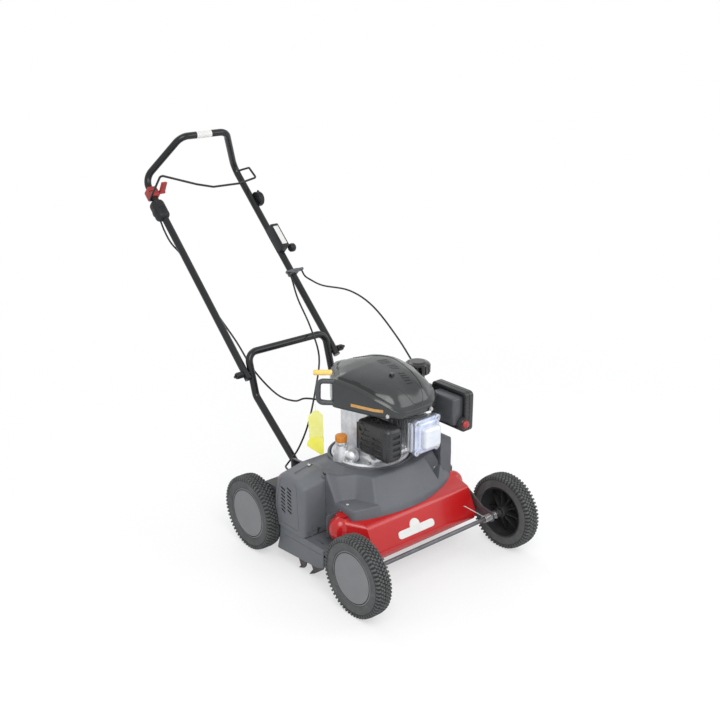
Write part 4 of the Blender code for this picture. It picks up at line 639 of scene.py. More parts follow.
skirtOutline = softOutline([(0.152, 0.059), (0.182, 0.047), (0.362, 0.033), (0.348, 0.08), (0.346, 0.1147),
                            (0.152, 0.1147)], 0.006, 4)
skirt = slab(skirtOutline, -0.2695, -0.2463, "x")
roundEdges(skirt, 0.003, 3, 60, lambda m: m.x < -0.2694)
skirtIn = softOutline([(0.1545, 0.0615), (0.182, 0.0495), (0.3525, 0.0375), (0.3435, 0.08), (0.3435, 0.14),
                       (0.1545, 0.14)], 0.005, 4)
skirt = carved(skirt, slab(skirtIn, -0.267, -0.23, "x"))
skirtLine = [(0.158, 0.096), (0.344, 0.09), (0.344, 0.0915), (0.158, 0.0975)]
skirt = carved(skirt, slab(skirtLine, -0.2705, -0.2688, "x"))
shelfOutline = softOutline([(0.126, 0.088), (0.15, 0.104), (0.233, 0.1147), (0.233, 0.112), (0.15, 0.101),
                            (0.126, 0.085)], 0.002, 3)
shelf = slab(shelfOutline, -0.2672, -0.1895, "x")
inwardWall = slab([(0.1775, 0.112), (0.196, 0.112), (0.201, 0.119), (0.211, 0.131), (0.221, 0.14), (0.233, 0.147),
                   (0.233, 0.206), (0.1775, 0.206)], -0.1925, -0.19, "x")
frontOutline = softOutline([(0.118, 0.052), (0.152, 0.059), (0.152, 0.1147), (0.136, 0.105), (0.124, 0.08)], 0.004, 3)
shelfFront = slab(frontOutline, -0.264, -0.2463, "x")
behindLobe = block((-0.2285, -0.195), (0.1855, 0.1875), (0.125, 0.19))
skirt = gathered(skirt, shelf, inwardWall, behindLobe, shelfFront)
addPiece("beltSkirt", skirt, "flankPlastic", "belt_skirt", angle=30)
teeth = [[(0.2749, 0.0323), (0.2406, 0.0381), (0.2447, 0.0205), (0.2522, 0.012), (0.276, 0.003), (0.2663, 0.0139)],
         [(0.2225, 0.0431), (0.1606, 0.0586), (0.1696, 0.0421), (0.204, 0.0161), (0.229, 0.003), (0.2113, 0.0262)]]
addDetail("skirtTeeth", gathered(*[slab(tooth, -0.259, -0.255, "x") for tooth in teeth]), "darkSteel", "belt_skirt")
print("belt cover made")


# deck cover: a height for each place, closed below, with the scooped ledge, the hump and the well of the engine

deckCover = {"left": 0.2225, "right": -0.1945, "rear": 0.395, "crest": 0.276, "ledge": 0.2175, "slope": 1.5,
             "scoopRise": 1.75, "soft": 0.007, "humpTop": 0.312, "humpFront": 0.146, "humpSide": 0.1575,
             "wall": 0.003, "well": 0.1165, "wellCentre": (0.01, 0.284)}
coverFront = [(-0.206, 0.14), (-0.2, 0.127), (-0.188, 0.117), (-0.157, 0.108), (-0.12, 0.1), (-0.065, 0.093),
              (-0.008, 0.09), (0.046, 0.092), (0.099, 0.103), (0.131, 0.112), (0.16, 0.123), (0.185, 0.136),
              (0.205, 0.152), (0.23, 0.19)]
scoopLine = softOutline([(-0.26, 0.2), (-0.176, 0.188), (-0.142, 0.172), (-0.1135, 0.108), (-0.105, 0.06),
                         (-0.105, 0.0), (-0.3, 0.0)], 0.012, 5)


def easeIn(t):
    t = max(0.0, min(1.0, t))
    return t * t * (3 - 2 * t)


def tableAt(table, x):
    for (x0, y0), (x1, y1) in zip(table, table[1:]):
        if x <= x1:
            return y0 + (y1 - y0) * max(0.0, (x - x0) / (x1 - x0))
    return table[-1][1]


def softMin(a, b, blend):
    share = max(0.0, min(1.0, 0.5 + (b - a) / (2 * blend)))
    return b + (a - b) * share - blend * share * (1 - share)


def besideLine(line, place):
    # distance from the line, positive on its inner side
    best, sign = 9.0, 1
    for a, b in zip(line, line[1:]):
        dx, dy = b[0] - a[0], b[1] - a[1]
        t = max(0.0, min(1.0, ((place[0] - a[0]) * dx + (place[1] - a[1]) * dy) / (dx * dx + dy * dy)))
        gap = math.hypot(place[0] - a[0] - t * dx, place[1] - a[1] - t * dy)
        if gap < best - 1e-9:
            best, sign = gap, (1 if dx * (place[1] - a[1]) - dy * (place[0] - a[0]) > 0 else -1)
    return best * sign


def edgeFall(distance, radius):
    distance = max(0.0, min(radius, distance))
    return radius - math.sqrt(radius * radius - (radius - distance) ** 2)


def coverHeight(x, back):
    look = deckCover
    base = tableAt(coverFront, x)
    face = 0.187 + (back - base + 0.006) * look["slope"]
    beside = besideLine(scoopLine, (x, back))
    scooped = look["ledge"] + max(0.0, beside) * look["scoopRise"]
    nearRight = easeIn((-0.15 - x) / 0.04)
    crest = look["crest"] + 0.01 * nearRight - 0.018 * easeIn((back - 0.3) / 0.08) * (1 - 0.6 * nearRight)
    crest -= (0.052 + 0.45 * max(0.0, x - 0.158)) * easeIn((x - 0.15) / 0.014)
    height = softMin(softMin(face, crest, look["soft"]), scooped, look["soft"])
    if beside < -0.001:
        height = look["ledge"]
    humpTop = look["humpTop"] - edgeFall(look["left"] - x, 0.034) - edgeFall(look["rear"] - back, 0.05)
    hump = softMin(0.215 + (back - look["humpFront"]) * 9, humpTop, 0.016)
    height = max(height, min(hump, (x - look["humpSide"]) * 14 + 0.205))
    return (height - edgeFall(look["left"] - x, 0.014) - edgeFall(look["rear"] - back, 0.012)
            - edgeFall(x - look["right"], 0.006) - edgeFall(back - base, 0.004))


def coverSolid(inset, low):
    across, along = (2, 2) if inset > 0.1 else (150, 110)
    shape = bmesh.new()
    bmesh.ops.create_grid(shape, x_segments=across, y_segments=along, size=0.5)
    left, right, rear = deckCover["left"] - inset, deckCover["right"] + inset, deckCover["rear"] - inset
    for vert in shape.verts:
        s, t = vert.co.x + 0.5, vert.co.y + 0.5
        s = s - 0.1 * math.sin(2 * math.pi * s) / math.pi
        t = t ** 1.25
        x = right + (left - right) * s
        start = tableAt(coverFront, x) + inset
        back = start + (rear - start) * t
        vert.co = (x, back, coverHeight(x, back) - inset)
    rimEdges = [edge for edge in shape.edges if len(edge.link_faces) == 1]
    made = bmesh.ops.extrude_edge_only(shape, edges=rimEdges)["geom"]
    lower = [item for item in made if isinstance(item, bmesh.types.BMVert)]
    for vert in lower:
        vert.co.z = low
    bmesh.ops.holes_fill(shape, edges=[item for item in made if isinstance(item, bmesh.types.BMEdge)
                                       and len(item.link_faces) == 1], sides=0)
    bmesh.ops.recalc_face_normals(shape, faces=shape.faces)
    return shape


cover = coverSolid(0, 0.15)
triangle = slab([(0.0935, 0.3), (0.1575, 0.3), (0.1575, 0.236), (0.1235, 0.2105)], 0.05, 0.16, "y")
roundEdges(triangle, 0.005, 4, 30, lambda m: m.y > 0.159)
wellShape = carved(drum((*deckCover["wellCentre"], 0.26), deckCover["well"], 0.2, "z", 96),
                   block((-0.3, 0.3), (0.3915, 0.5), (0.0, 0.5)))
under = slab([(0.03, 0.1), (0.03, 0.1622), (0.084, 0.1782), (0.16, 0.2003), (0.415, 0.2003), (0.415, 0.1)],
             -0.35, 0.35, "x")
seamSide = block((-0.3, -0.1902), (0.233, 0.5), (0.0, 0.5))
inside = carved(coverSolid(deckCover["wall"], 0.11), block((0.088, 0.1605), (0.08, 0.163), (0.1, 0.32)))
cover = carved(cover, triangle, under, seamSide)
cover = carved(cover, inside)
cover = carved(cover, wellShape)
addPiece("deckCoverShell", cover, "coverPlastic", "deck_cover", angle=32)
well = deckCover["well"]
rimProfile = [(well - 0.001, 0.262), (well - 0.001, 0.2775), (well + 0.001, 0.279), (well + 0.004, 0.279),
              (well + 0.006, 0.277), (well + 0.006, 0.262)]
rimRing = lathe(rimProfile, (*deckCover["wellCentre"], 0), "z", 96, True)
addDetail("coverRimRing", rimRing, "coverPlastic", "deck_cover")
screws = [crossScrew((-0.177, 0.161, 0.2178), 0.0046),
          crossScrew((0.148, 0.1597, 0.2262), 0.005, axis="y", facing=-1), crossScrew((-0.199, 0.299, 0.293), 0.0052),
          crossScrew((0.189, 0.3955, 0.24), 0.0048, axis="y"), crossScrew((-0.1, 0.3955, 0.225), 0.0048, axis="y")]
addDetail("coverScrews", gathered(*screws), "zincSteel", "deck_cover")
print("deck cover made")


# handle tubes

handle = {"tube": 0.011, "bore": 0.0113, "angle": 43.9, "foldBack": 0.6405, "foldHeight": 0.4535, "upperX": 0.1676,
          "lowerX": 0.1453, "straight": 0.742, "gripAt": (1.07, 1.088), "footBack": 0.425, "footBolt": 0.0165}
slopeAngle = math.radians(handle["angle"])
along = Vector((0, math.cos(slopeAngle), math.sin(slopeAngle)))
above = Vector((0, -math.sin(slopeAngle), math.cos(slopeAngle)))


def onHandle(x, distance, rise=0.0):
    return Vector((x, handle["foldBack"], handle["foldHeight"])) + along * distance + above * rise


def handleTurned(shape, place):
    return moved(turned(shape, handle["angle"], "X"), place)


low = onHandle(-handle["upperX"], -0.02)
halfPath = [low, low + along * handle["straight"], Vector((-0.083, *handle["gripAt"]))]
upperPath = bentPath(halfPath + [Vector((-p.x, p.y, p.z)) for p in reversed(halfPath)], 0.04, 12)
upper = bar(upperPath, handle["tube"], 28)
upper = carved(upper, drum(onHandle(0, 0), 0.0043, 0.5, "x", 24))
addPiece("upperHandleTube", upper, "blackTube", "upper_handle", body="handle", angle=45)
lowHalf = [Vector((-handle["lowerX"], *p)) for p in ((handle["footBack"], 0.2275), (0.622, 0.384), (0.659, 0.508))]
lowerPath = bentPath(lowHalf + [Vector((-p.x, p.y, p.z)) for p in reversed(lowHalf)], 0.03, 10)
lower = bar(lowerPath, handle["tube"], 28)
feet = []
for side in (-1, 1):
    x = side * handle["lowerX"]
    foot = softBlock((x - 0.023, x + 0.023), (0.4, 0.45), (0.2003, 0.2043), 0.01, 4, 60,
                     lambda m: abs(m.z - 0.2023) < 0.0005)
    stem = drum((x, handle["footBack"], 0.2155), 0.0106, 0.026, "z", 28)
    bolt = drum(onHandle(side * 0.16895, 0), 0.004, 0.0473, "x", 20)
    feet += [foot, stem, bolt]
lower = joined(lower, *feet)
addPiece("lowerHandleTube", lower, "blackTube", "lower_handle", angle=45)
footBolts = [hexBolt((side * handle["lowerX"] + end * handle["footBolt"], handle["footBack"], 0.2046), 0.0045, 0.0035)
             for side in (-1, 1) for end in (-1, 1)]
addDetail("footBolts", gathered(*footBolts), "zincSteel", "lower_handle")
stickerPath = [Vector((x, *handle["gripAt"])) for x in (-0.03, 0.024)]
addDetail("gripLabelPlace", bar(stickerPath, handle["tube"] + 0.0003, 28), "paleSticker", "upper_handle",
          body="handle")

besideTube = handle["upperX"] + handle["tube"] + 0.0003
for name, side in (("right", -1), ("left", 1)):
    core = lathe([(0.0043, 0), (0.0085, 0), (0.01, 0.002), (0.01, 0.018), (0.0085, 0.022), (0.0043, 0.022)],
                 (0, 0, 0), "z", 32, True)
    wings = softBlock((-0.018, 0.018), (-0.004, 0.004), (0.007, 0.021), 0.0028, 4)
    wings = carved(wings, drum((0, 0, 0.014), 0.0092, 0.04, "z", 32))
    shape = gathered(core, wings)
    turned(shape, side * 90, "Y")
    turned(shape, 60, "X")
    addPiece(f"foldKnob{name.title()}", moved(shape, onHandle(side * besideTube, 0)), "blackPlastic",
             f"fold_knob_{name}", body=f"knob_{name}")
print("handles made")


# bail, clamp, trigger and brake housing

bail = {"rod": 0.0035, "side": 0.1884}
bailRight, bailLeft = onHandle(-bail["side"], 0.641), onHandle(bail["side"], 0.707)
bailAxis = (bailLeft - bailRight).normalized()
bailCorners = [bailRight + bailAxis * 0.0088, bailRight, (-0.19, 1.022, 0.988), (-0.06, 1.03, 0.944),
               (0.01, 1.045, 0.925), (0.12, 1.062, 0.92), (0.19, 1.068, 0.93), (0.19, 1.106, 0.957), bailLeft,
               bailLeft - bailAxis * 0.0088]
addPiece("bailRod", bar(bentPath(bailCorners, 0.008, 5), bail["rod"], 16), "blackTube", "bail", body="bail", angle=50)

clampAt = 0.6645
clamp = softBlock((-0.0165, 0.0165), (-0.018, 0.018), (-0.018, 0.018), 0.0055, 4)
clamp = carved(clamp, drum((0, 0, 0), handle["bore"], 0.2, "y", 40),
               block((-0.03, 0.03), (-0.0012, 0.0012), (0.0135, 0.03)))
addPiece("clampBlock", handleTurned(clamp, onHandle(-handle["upperX"], clampAt)), "redPlastic", "clamp_block",
         body="handle")
pivot = onHandle(-handle["upperX"] + 0.0168, clampAt - 0.006, 0.012)
barrel = roundEdges(drum((0.01, 0, 0), 0.006, 0.02, "x", 28), 0.001, 2, 60)
paddle = softBlock((-0.01, 0.01), (-0.02, 0.02), (-0.004, 0.004), 0.0032, 4)
turned(paddle, handle["angle"] + 75, "X")
moved(paddle, Vector((0.01, 0, 0)) + above * 0.018 + along * 0.004)
addPiece("safetyTrigger", moved(gathered(barrel, paddle), pivot), "redPlastic", "safety_trigger", body="trigger")

housing = softBlock((-0.022, 0.022), (-0.035, 0.035), (-0.02, 0.02), 0.0155, 7)
housing = carved(housing, drum((0.004, 0, 0), handle["bore"], 0.2, "y", 40),
                 block((-0.05, 0.05), (-0.0005, 0.0005), (0.0185, 0.03)))
dial = lathe([(0, -0.0235), (0.01, -0.0235), (0.013, -0.0215), (0.013, -0.016), (0, -0.016)], (0, -0.006, 0), "x", 32)
addPiece("brakeHousing", handleTurned(gathered(housing, dial), onHandle(-handle["upperX"] - 0.004, 0.6)),
         "blackPlastic", "brake_housing", body="handle")
print("bail and clamp made")


# controls on the far side

far = {"discAt": 0.583, "panelAt": 0.415, "bracketAt": 0.29}


def hubShape(radius):
    profile = [(0, 0), (radius, 0), (radius, 0.0045), (radius - 0.0015, 0.006), (0, 0.006)]
    return lathe(profile, (0, 0, 0), "x", 32)


disc = lathe([(0, 0), (0.024, 0), (0.024, 0.017), (0.0215, 0.0205), (0.017, 0.022), (0, 0.022)], (0, 0, 0), "x", 48)
notches = [turned(block((-0.001, 0.021), (-0.0012, 0.0012), (0.0228, 0.03)), n * 15, "X") for n in range(24)]
disc = carved(disc, *notches)
disc = joined(disc, softBlock((-0.0006, 0.014), (-0.03, 0.004), (-0.012, 0.008), 0.003, 3))
addPiece("throttleDisc", moved(disc, onHandle(besideTube, far["discAt"], 0.004)), "blackPlastic", "throttle_disc",
         body="handle")
hub = hubShape(0.011)
stalk = softBlock((0.0003, 0.0053), (-0.001, 0.033), (-0.004, 0.004), 0.0022, 4)
turned(stalk, handle["angle"], "X")
addPiece("throttleLever", moved(gathered(hub, stalk), onHandle(besideTube + 0.0223, far["discAt"], 0.004)),
         "blackPlastic", "throttle_lever", body="throttle")

panel = softBlock((-0.015, 0.015), (-0.045, 0.045), (-0.022, 0.022), 0.0045, 4)
window = softBlock((-0.0105, 0.0105), (-0.036, 0.036), (0.021, 0.03), 0.002, 3)
panel = carved(panel, window, drum((0, 0, -0.02), handle["bore"], 0.3, "y", 40))
addPiece("clutchPanel", handleTurned(panel, onHandle(handle["upperX"], far["panelAt"], 0.02)), "blackPlastic",
         "clutch_panel", body="handle")
panelLabel = slab(softOutline([(-0.0098, -0.035), (0.0098, -0.035), (0.0098, 0.035), (-0.0098, 0.035)], 0.002, 4),
                  0.0208, 0.0212, "z")
addDetail("panelLabelPlace", handleTurned(panelLabel, onHandle(handle["upperX"], far["panelAt"], 0.02)),
          "paleSticker", "clutch_panel", body="handle")
leverPivot = onHandle(handle["upperX"] + 0.0153, far["panelAt"] - 0.01, 0.022)
run = -along * 0.036 + above * 0.004
leverHub = hubShape(0.01)
leverBar = bar(throughPoints([Vector((0.003, 0, 0)), Vector((0.006, 0, 0)) + run * 0.5, Vector((0.012, 0, 0)) + run],
                             8), 0.003, 12)
leverKnob = lathe([(0, -0.009), (0.011, -0.009), (0.0135, -0.006), (0.014, 0), (0.0135, 0.006), (0.011, 0.009),
                   (0, 0.009)], Vector((0.014, 0, 0)) + run, "x", 36)
addPiece("clutchLever", moved(gathered(leverHub, leverBar, leverKnob), leverPivot), "blackPlastic", "clutch_lever",
         body="clutch")

bracket = softBlock((-0.033, 0.033), (-0.004, 0.004), (-0.006, 0.006), 0.0018, 3)
saddle = softBlock((-0.015, 0.015), (-0.007, 0.007), (-0.0265, 0.0035), 0.003, 4)
bracket = carved(joined(bracket, saddle), drum((0, 0, -0.0175), handle["bore"], 0.2, "y", 40))
addPiece("cableBracket", handleTurned(bracket, onHandle(handle["upperX"], far["bracketAt"], 0.0175)), "axleSteel",
         "cable_bracket", body="handle")
print("far controls made")


# engine

engineX, engineBack = 0.02, 0.265  # the crankshaft, where the engine's own places start


def byEngine(shape):
    return moved(shape, (engineX, engineBack, 0))


flange = lathe([(0, 0.2503), (0.103, 0.2503), (0.11, 0.255), (0.1125, 0.272), (0.111, 0.279), (0.1065, 0.283),
                (0.099, 0.2825), (0.09, 0.2765), (0.07, 0.2745), (0, 0.2745)], (-0.01, 0.019, 0), "z", 96)
caseBody = softBlock((-0.07, 0.066), (-0.049, 0.092), (0.262, 0.44), 0.022, 6)
sump = softBlock((-0.074, 0.078), (-0.066, 0.092), (0.262, 0.3), 0.014, 6, 35)
oilFill = (-0.108, 0.03)
neck = drum((*oilFill, 0.296), 0.0135, 0.072, "z", 32)
root = softBlock((-0.108, -0.03), (0.01, 0.05), (0.261, 0.302), 0.01, 5)
flare = lathe([(0, 0.255), (0.026, 0.255), (0.0235, 0.285), (0.0185, 0.305), (0.0165, 0.318), (0, 0.318)],
              (*oilFill, 0), "z", 40)
flare = joined(flare, moved(ball(0.022, 32, 20), (-0.092, 0.004, 0.292)))
collar = roundEdges(drum((*oilFill, 0.3275), 0.0165, 0.009, "z", 6), 0.001, 2, 50)
case = joined(flange, sump, caseBody, neck, root, flare, collar)
ribs = [softBlock((-0.036 + n * 0.022, -0.033 + n * 0.022), (0.088, 0.0965), (0.3, 0.428), 0.001, 2)
        for n in range(5)]
case = joined(case, *ribs)
case = carved(case, drum((0, 0, 0.35), 0.0113, 0.6, "z", 40))
addPiece("crankcaseCasting", byEngine(case), "castMetal", "crankcase", angle=30)
boltCircle = [math.radians(degrees) for degrees in (150, 188, 226, 264, 302, 20, 75, 112)]
bolts = [hexBolt((0.101 * math.cos(a) - 0.01, 0.101 * math.sin(a) + 0.019, 0.2832), 0.0055, 0.005)
         for a in boltCircle]
addDetail("flangeBolts", byEngine(gathered(*bolts)), "zincSteel", "crankcase")

cap = lathe([(0, 0.3523), (0.008, 0.3523), (0.0155, 0.3505), (0.0172, 0.348), (0.0172, 0.336), (0.016, 0.3325),
             (0, 0.3325)], (0, 0, 0), "z", 48)
grips = [turned(block((0.0155, 0.02), (-0.0012, 0.0012), (0.334, 0.351)), n * 30, "Z") for n in range(12)]
cap = carved(cap, *grips)
cap = joined(cap, softBlock((-0.0145, 0.0145), (-0.003, 0.003), (0.347, 0.3522), 0.001, 2))
addPiece("oilCap", byEngine(moved(cap, (*oilFill, 0))), "orangePlastic", "oil_cap", body="oil_cap")

cylinder = {"x": 0.035, "front": -0.158, "rear": -0.0493, "fins": 9, "pitch": 0.0095}
core = block((cylinder["x"] - 0.032, cylinder["x"] + 0.032), (cylinder["front"], cylinder["rear"]), (0.344, 0.408))
fins = []
for number in range(cylinder["fins"]):
    y = cylinder["front"] + 0.01 + number * cylinder["pitch"]
    fins.append(softBlock((cylinder["x"] - 0.042, cylinder["x"] + 0.042), (y - 0.0011, y + 0.0011), (0.334, 0.418),
                          0.006, 3, 60, lambda m, y=y: abs(m.y - y) < 0.0005))
flank = [softBlock((-0.0135, -0.003), (-0.157, -0.149), (0.334, 0.4185), 0.0015, 2),
         softBlock((-0.0125, -0.005), (-0.143, -0.1385), (0.336, 0.4165), 0.001, 2)]
addDetail("headFlank", byEngine(gathered(*flank)), "whiteMetal", "cylinder_block")
addPiece("cylinderFins", byEngine(gathered(core, *fins)), "castMetal", "cylinder_block")

plate = softBlock((-0.01, 0.08), (-0.1663, -0.1583), (0.326, 0.426), 0.009, 5, 60,
                  lambda m: abs(m.y + 0.1623) < 0.002)
headCorners = [(x, z) for x in (-0.002, 0.072) for z in (0.334, 0.418)]
ears = [roundEdges(drum((x, -0.164, z), 0.0105, 0.011, "y", 32), 0.0014, 2, 60) for x, z in headCorners]
frameRing = softBlock((0.001, 0.069), (-0.1715, -0.16), (0.335, 0.417), 0.008, 4, 60, lambda m: m.y < -0.161)
head = joined(roundEdges(plate, 0.0014, 2, 60), frameRing, *ears)
boss = softBlock((0.01, 0.072), (-0.1883, -0.165), (0.34, 0.404), 0.011, 6, 60)
grooves = [block((0.02, 0.062), (-0.1892, -0.1878), (z - 0.001, z + 0.001)) for z in (0.353, 0.372, 0.391)]
addPiece("valveCover", byEngine(head), "paleMetal", "valve_cover", angle=30)
addDetail("valveBoss", byEngine(carved(boss, *grooves)), "whiteMetal", "valve_cover", angle=30)
corners = [hexBolt((x, -0.17, z), 0.0046, 0.004, "y", -1) for x, z in headCorners]
addDetail("headBolts", byEngine(gathered(*corners)), "zincSteel", "valve_cover")

guardLook = {"x": (-0.105, -0.042), "back": (-0.16, -0.028), "z": (0.32, 0.422), "edge": 0.02, "wall": 0.002,
             "frontSlots": 4, "sideSlots": 5}
guard = softBlock(guardLook["x"], guardLook["back"], guardLook["z"], guardLook["edge"], 7)
guardIn = softBlock((-0.103, -0.044), (-0.158, 0.01), (0.322, 0.42), guardLook["edge"] - guardLook["wall"], 7)
slots = []
for row in range(guardLook["frontSlots"]):
    z = 0.397 - row * 0.0175
    slots.append(softBlock((-0.085, -0.058), (-0.17, -0.15), (z - 0.0046, z + 0.0046), 0.0035, 3, 60,
                           lambda m: abs(m.y + 0.16) < 0.009))
for row in range(guardLook["sideSlots"]):
    for back in (-0.118, -0.07):
        if row == 0 and back < -0.1:
            continue
        slot = softBlock((-0.12, -0.09), (-0.0185, 0.0185), (-0.0034, 0.0034), 0.0028, 3, 60)
        slots.append(moved(turned(slot, -4, "X"), (0, back, 0.401 - row * 0.0155)))
guard = carved(guard, guardIn, drum((-0.042, -0.09, 0.371), 0.0105, 0.02, "x", 24))
guard = carved(guard, *slots)
rim = [lathe([(0.007, -0.1065), (0.0135, -0.1065), (0.015, -0.105), (0.015, -0.103), (0.007, -0.103)],
             (0, -0.052, 0.398), "x", 32, True),
       lathe([(0.0, -0.105), (0.0068, -0.105), (0.0068, -0.1035), (0, -0.1035)], (0, -0.052, 0.398), "x", 24)]
# near-black sheets behind the guard's slots: painted shade seen through them
guardLiner = gathered(block((-0.102, -0.101), (-0.15, -0.03), (0.332, 0.41)),
                      block((-0.096, -0.051), (-0.157, -0.156), (0.334, 0.408)))
addDetail("guardLiner", byEngine(guardLiner), "wheelGroove", "muffler_guard")
addPiece("mufflerGuard", byEngine(gathered(guard, *rim)), "guardBlack", "muffler_guard", angle=30)
print("engine block made")


# engine shroud: rings of the plan outline, a falling ridge along its side, a crest and a scooped nose

shroud = {"low": 0.4475, "points": 180}
plan = softOutline([(-0.146, 0.022), (-0.104, -0.104), (-0.066, -0.166), (0.052, -0.172), (0.108, -0.128),
                    (0.134, -0.045), (0.132, 0.05), (0.076, 0.128), (-0.05, 0.128), (-0.104, 0.084)],
                   [0.016, 0.03, 0.045, 0.05, 0.045, 0.04, 0.04, 0.04, 0.03, 0.022], 6)
ridgeTable = [(-0.172, 0.465), (-0.162, 0.467), (-0.143, 0.477), (-0.118, 0.49), (-0.09, 0.502), (-0.046, 0.515),
              (0.01, 0.5245), (0.1, 0.528)]
crestTable = [(-0.172, 0.47), (-0.16, 0.491), (-0.146, 0.509), (-0.134, 0.519), (-0.116, 0.5265), (-0.075, 0.536),
              (-0.028, 0.5435), (0.013, 0.5485), (0.05, 0.549), (0.1, 0.542), (0.13, 0.53)]


def evenly(outline, count):
    pairs = list(zip(outline, outline[1:] + outline[:1]))
    lengths = [math.dist(a, b) for a, b in pairs]
    total, result = sum(lengths), []
    for number in range(count):
        target = total * number / count
        for (a, b), length in zip(pairs, lengths):
            if target <= length:
                t = target / length if length else 0
                result.append((a[0] + (b[0] - a[0]) * t, a[1] + (b[1] - a[1]) * t))
                break
            target -= length
    return result


ringPlan = evenly(plan, shroud["points"])
insideProfile = [(0.0, 1.0), (0.35, 0.99), (0.55, 0.955), (0.68, 0.88), (0.76, 0.78), (0.82, 0.66), (0.865, 0.52),
                 (0.895, 0.37), (0.915, 0.27), (0.93, 0.235), (0.945, 0.22), (0.96, 0.16), (0.975, 0.08), (0.99, 0.0),
                 (1.0, -0.04)]


def ridgeHeight(p):
    # high at the starter end, falling along the side to the nose
    left = tableAt(ridgeTable, p[1])
    right = 0.47 + 0.03 * easeIn((p[1] + 0.16) / 0.25)
    return left + (right - left) * easeIn((p[0] + 0.03) / 0.12)


def rimTowards(x, back):
    bearing = math.atan2(back, x)
    return min(ringPlan, key=lambda q: abs((math.atan2(q[1], q[0]) - bearing + math.pi) % (2 * math.pi) - math.pi))


def surfaceAt(p, lift=0.0):
    rim = rimTowards(p[0], p[1])
    scale = min(1.0, math.hypot(*p) / math.hypot(*rim))
    low = ridgeHeight(rim)
    crest = tableAt(crestTable, p[1]) - 0.2 * max(0.0, p[0] - 0.055) - 0.06 * max(0.0, -0.02 - p[0])
    across, forth = p[0] + 0.004, p[1] + 0.125
    bowl = math.exp(-((across * 0.9 + forth * 0.45) / 0.04) ** 2 - ((forth * 0.9 - across * 0.45) / 0.026) ** 2)
    return Vector((p[0], p[1], low + max(crest - low, 0.004) * tableAt(insideProfile, scale) - 0.0065 * bowl + lift))


def ring(scale, heightOf):
    return [Vector((p[0] * scale, p[1] * scale, heightOf(p))) for p in ringPlan]


lowRings = ((0.962, 0.001), (0.985, 0), (0.996, 0.0025), (0.999, 0.006))
rings = [ring(scale, lambda p: shroud["low"] + rise) for scale, rise in lowRings]
rings += [ring(scale, lambda p: ridgeHeight(p) - drop) for scale, drop in ((1, 0.0055), (0.998, 0.002))]
rings += [[surfaceAt((p[0] * s, p[1] * s)) for p in ringPlan]
          for s in (0.992, 0.982, 0.972, 0.962, 0.954, 0.946, 0.938, 0.928, 0.916, 0.904, 0.892, 0.878, 0.862, 0.842,
                    0.82, 0.795, 0.76, 0.72, 0.67, 0.61, 0.54, 0.46, 0.37, 0.28, 0.18, 0.08)]
shape = bmesh.new()
current = [shape.verts.new(p) for p in rings[0]]
edges = [shape.edges.new((a, b)) for a, b in zip(current, current[1:] + current[:1])]
for target in rings[1:]:
    made = bmesh.ops.extrude_edge_only(shape, edges=edges)["geom"]
    fresh = {v for v in made if isinstance(v, bmesh.types.BMVert)}
    following = [next(e.other_vert(v) for e in v.link_edges if e.other_vert(v) in fresh) for v in current]
    for vert, place in zip(following, target):
        vert.co = place
    current = following
    edges = [shape.edges.get((a, b)) for a, b in zip(current, current[1:] + current[:1])]
shape.faces.new(current)
bmesh.ops.recalc_face_normals(shape, faces=shape.faces)
if shape.faces[0].normal.dot(shape.faces[0].calc_center_median() - Vector((0, 0, 0.5))) < 0:
    bmesh.ops.reverse_faces(shape, faces=shape.faces)
for face in shape.faces:
    middle = face.calc_center_median()
    reach = math.hypot(middle.x, middle.y) / math.hypot(*rimTowards(middle.x, middle.y))
    if 0.85 < reach < 0.925 and middle.x < 0.02 and -0.12 < middle.y < 0.075 and middle.z > 0.48:
        face.material_index = 1
shroudPiece = addPiece("engineShroud", byEngine(shape), ["shroudPlastic", "glossyBlack"], "blower_housing",
                       stands=["blower_housing", "starter_cover"], angle=60)
wallStep = shroudPiece.modifiers.new("wall", "SOLIDIFY")
wallStep.thickness = 0.002
wallStep.offset = -1

longSeam = [(-0.012, 0.092), (0.01, 0.076), (0.042, 0.046), (0.064, 0.01), (0.064, -0.028), (0.056, -0.075),
            (0.05, -0.112), (0.044, -0.134)]
noseSeam = [(-0.07, -0.078), (-0.048, -0.094), (-0.022, -0.124), (-0.006, -0.15), (0.012, -0.16), (0.03, -0.152),
            (0.038, -0.132), (0.03, -0.106), (0.012, -0.086)]
seamBars = []
for line, radius in ((longSeam, 0.0016), (noseSeam, 0.0008)):
    path = throughPoints([(*q, 0) for q in line], 40)
    seamBars.append(bar([surfaceAt(p, -0.0002) for p in path], radius, 8))
addDetail("shroudSeams", byEngine(gathered(*seamBars)), "glossyBlack", "starter_cover", angle=60)

loopHigh, loopLow = 0.5215, 0.4585
loop = bentPath([(-0.128, 0.012, loopHigh), (-0.169, 0.052, loopHigh), (-0.17, 0.053, loopLow),
                 (-0.13, 0.014, loopLow)], 0.014, 8)
addDetail("starterLoop", byEngine(bar(loop, 0.0072, 16)), "filterPlastic", "blower_housing", angle=50)
gripShape = lathe([(0, -0.026), (0.0055, -0.0255), (0.0078, -0.023), (0.0074, -0.01), (0.008, 0), (0.0074, 0.01),
                   (0.0078, 0.023), (0.0055, 0.0255), (0, 0.026)], (0, 0, 0), "y", 32)
turned(gripShape, 50, "Z")
addPiece("starterGrip", byEngine(moved(gripShape, (-0.158, 0.046, 0.545))), "yellowPlastic", "starter_grip",
         body="starter")

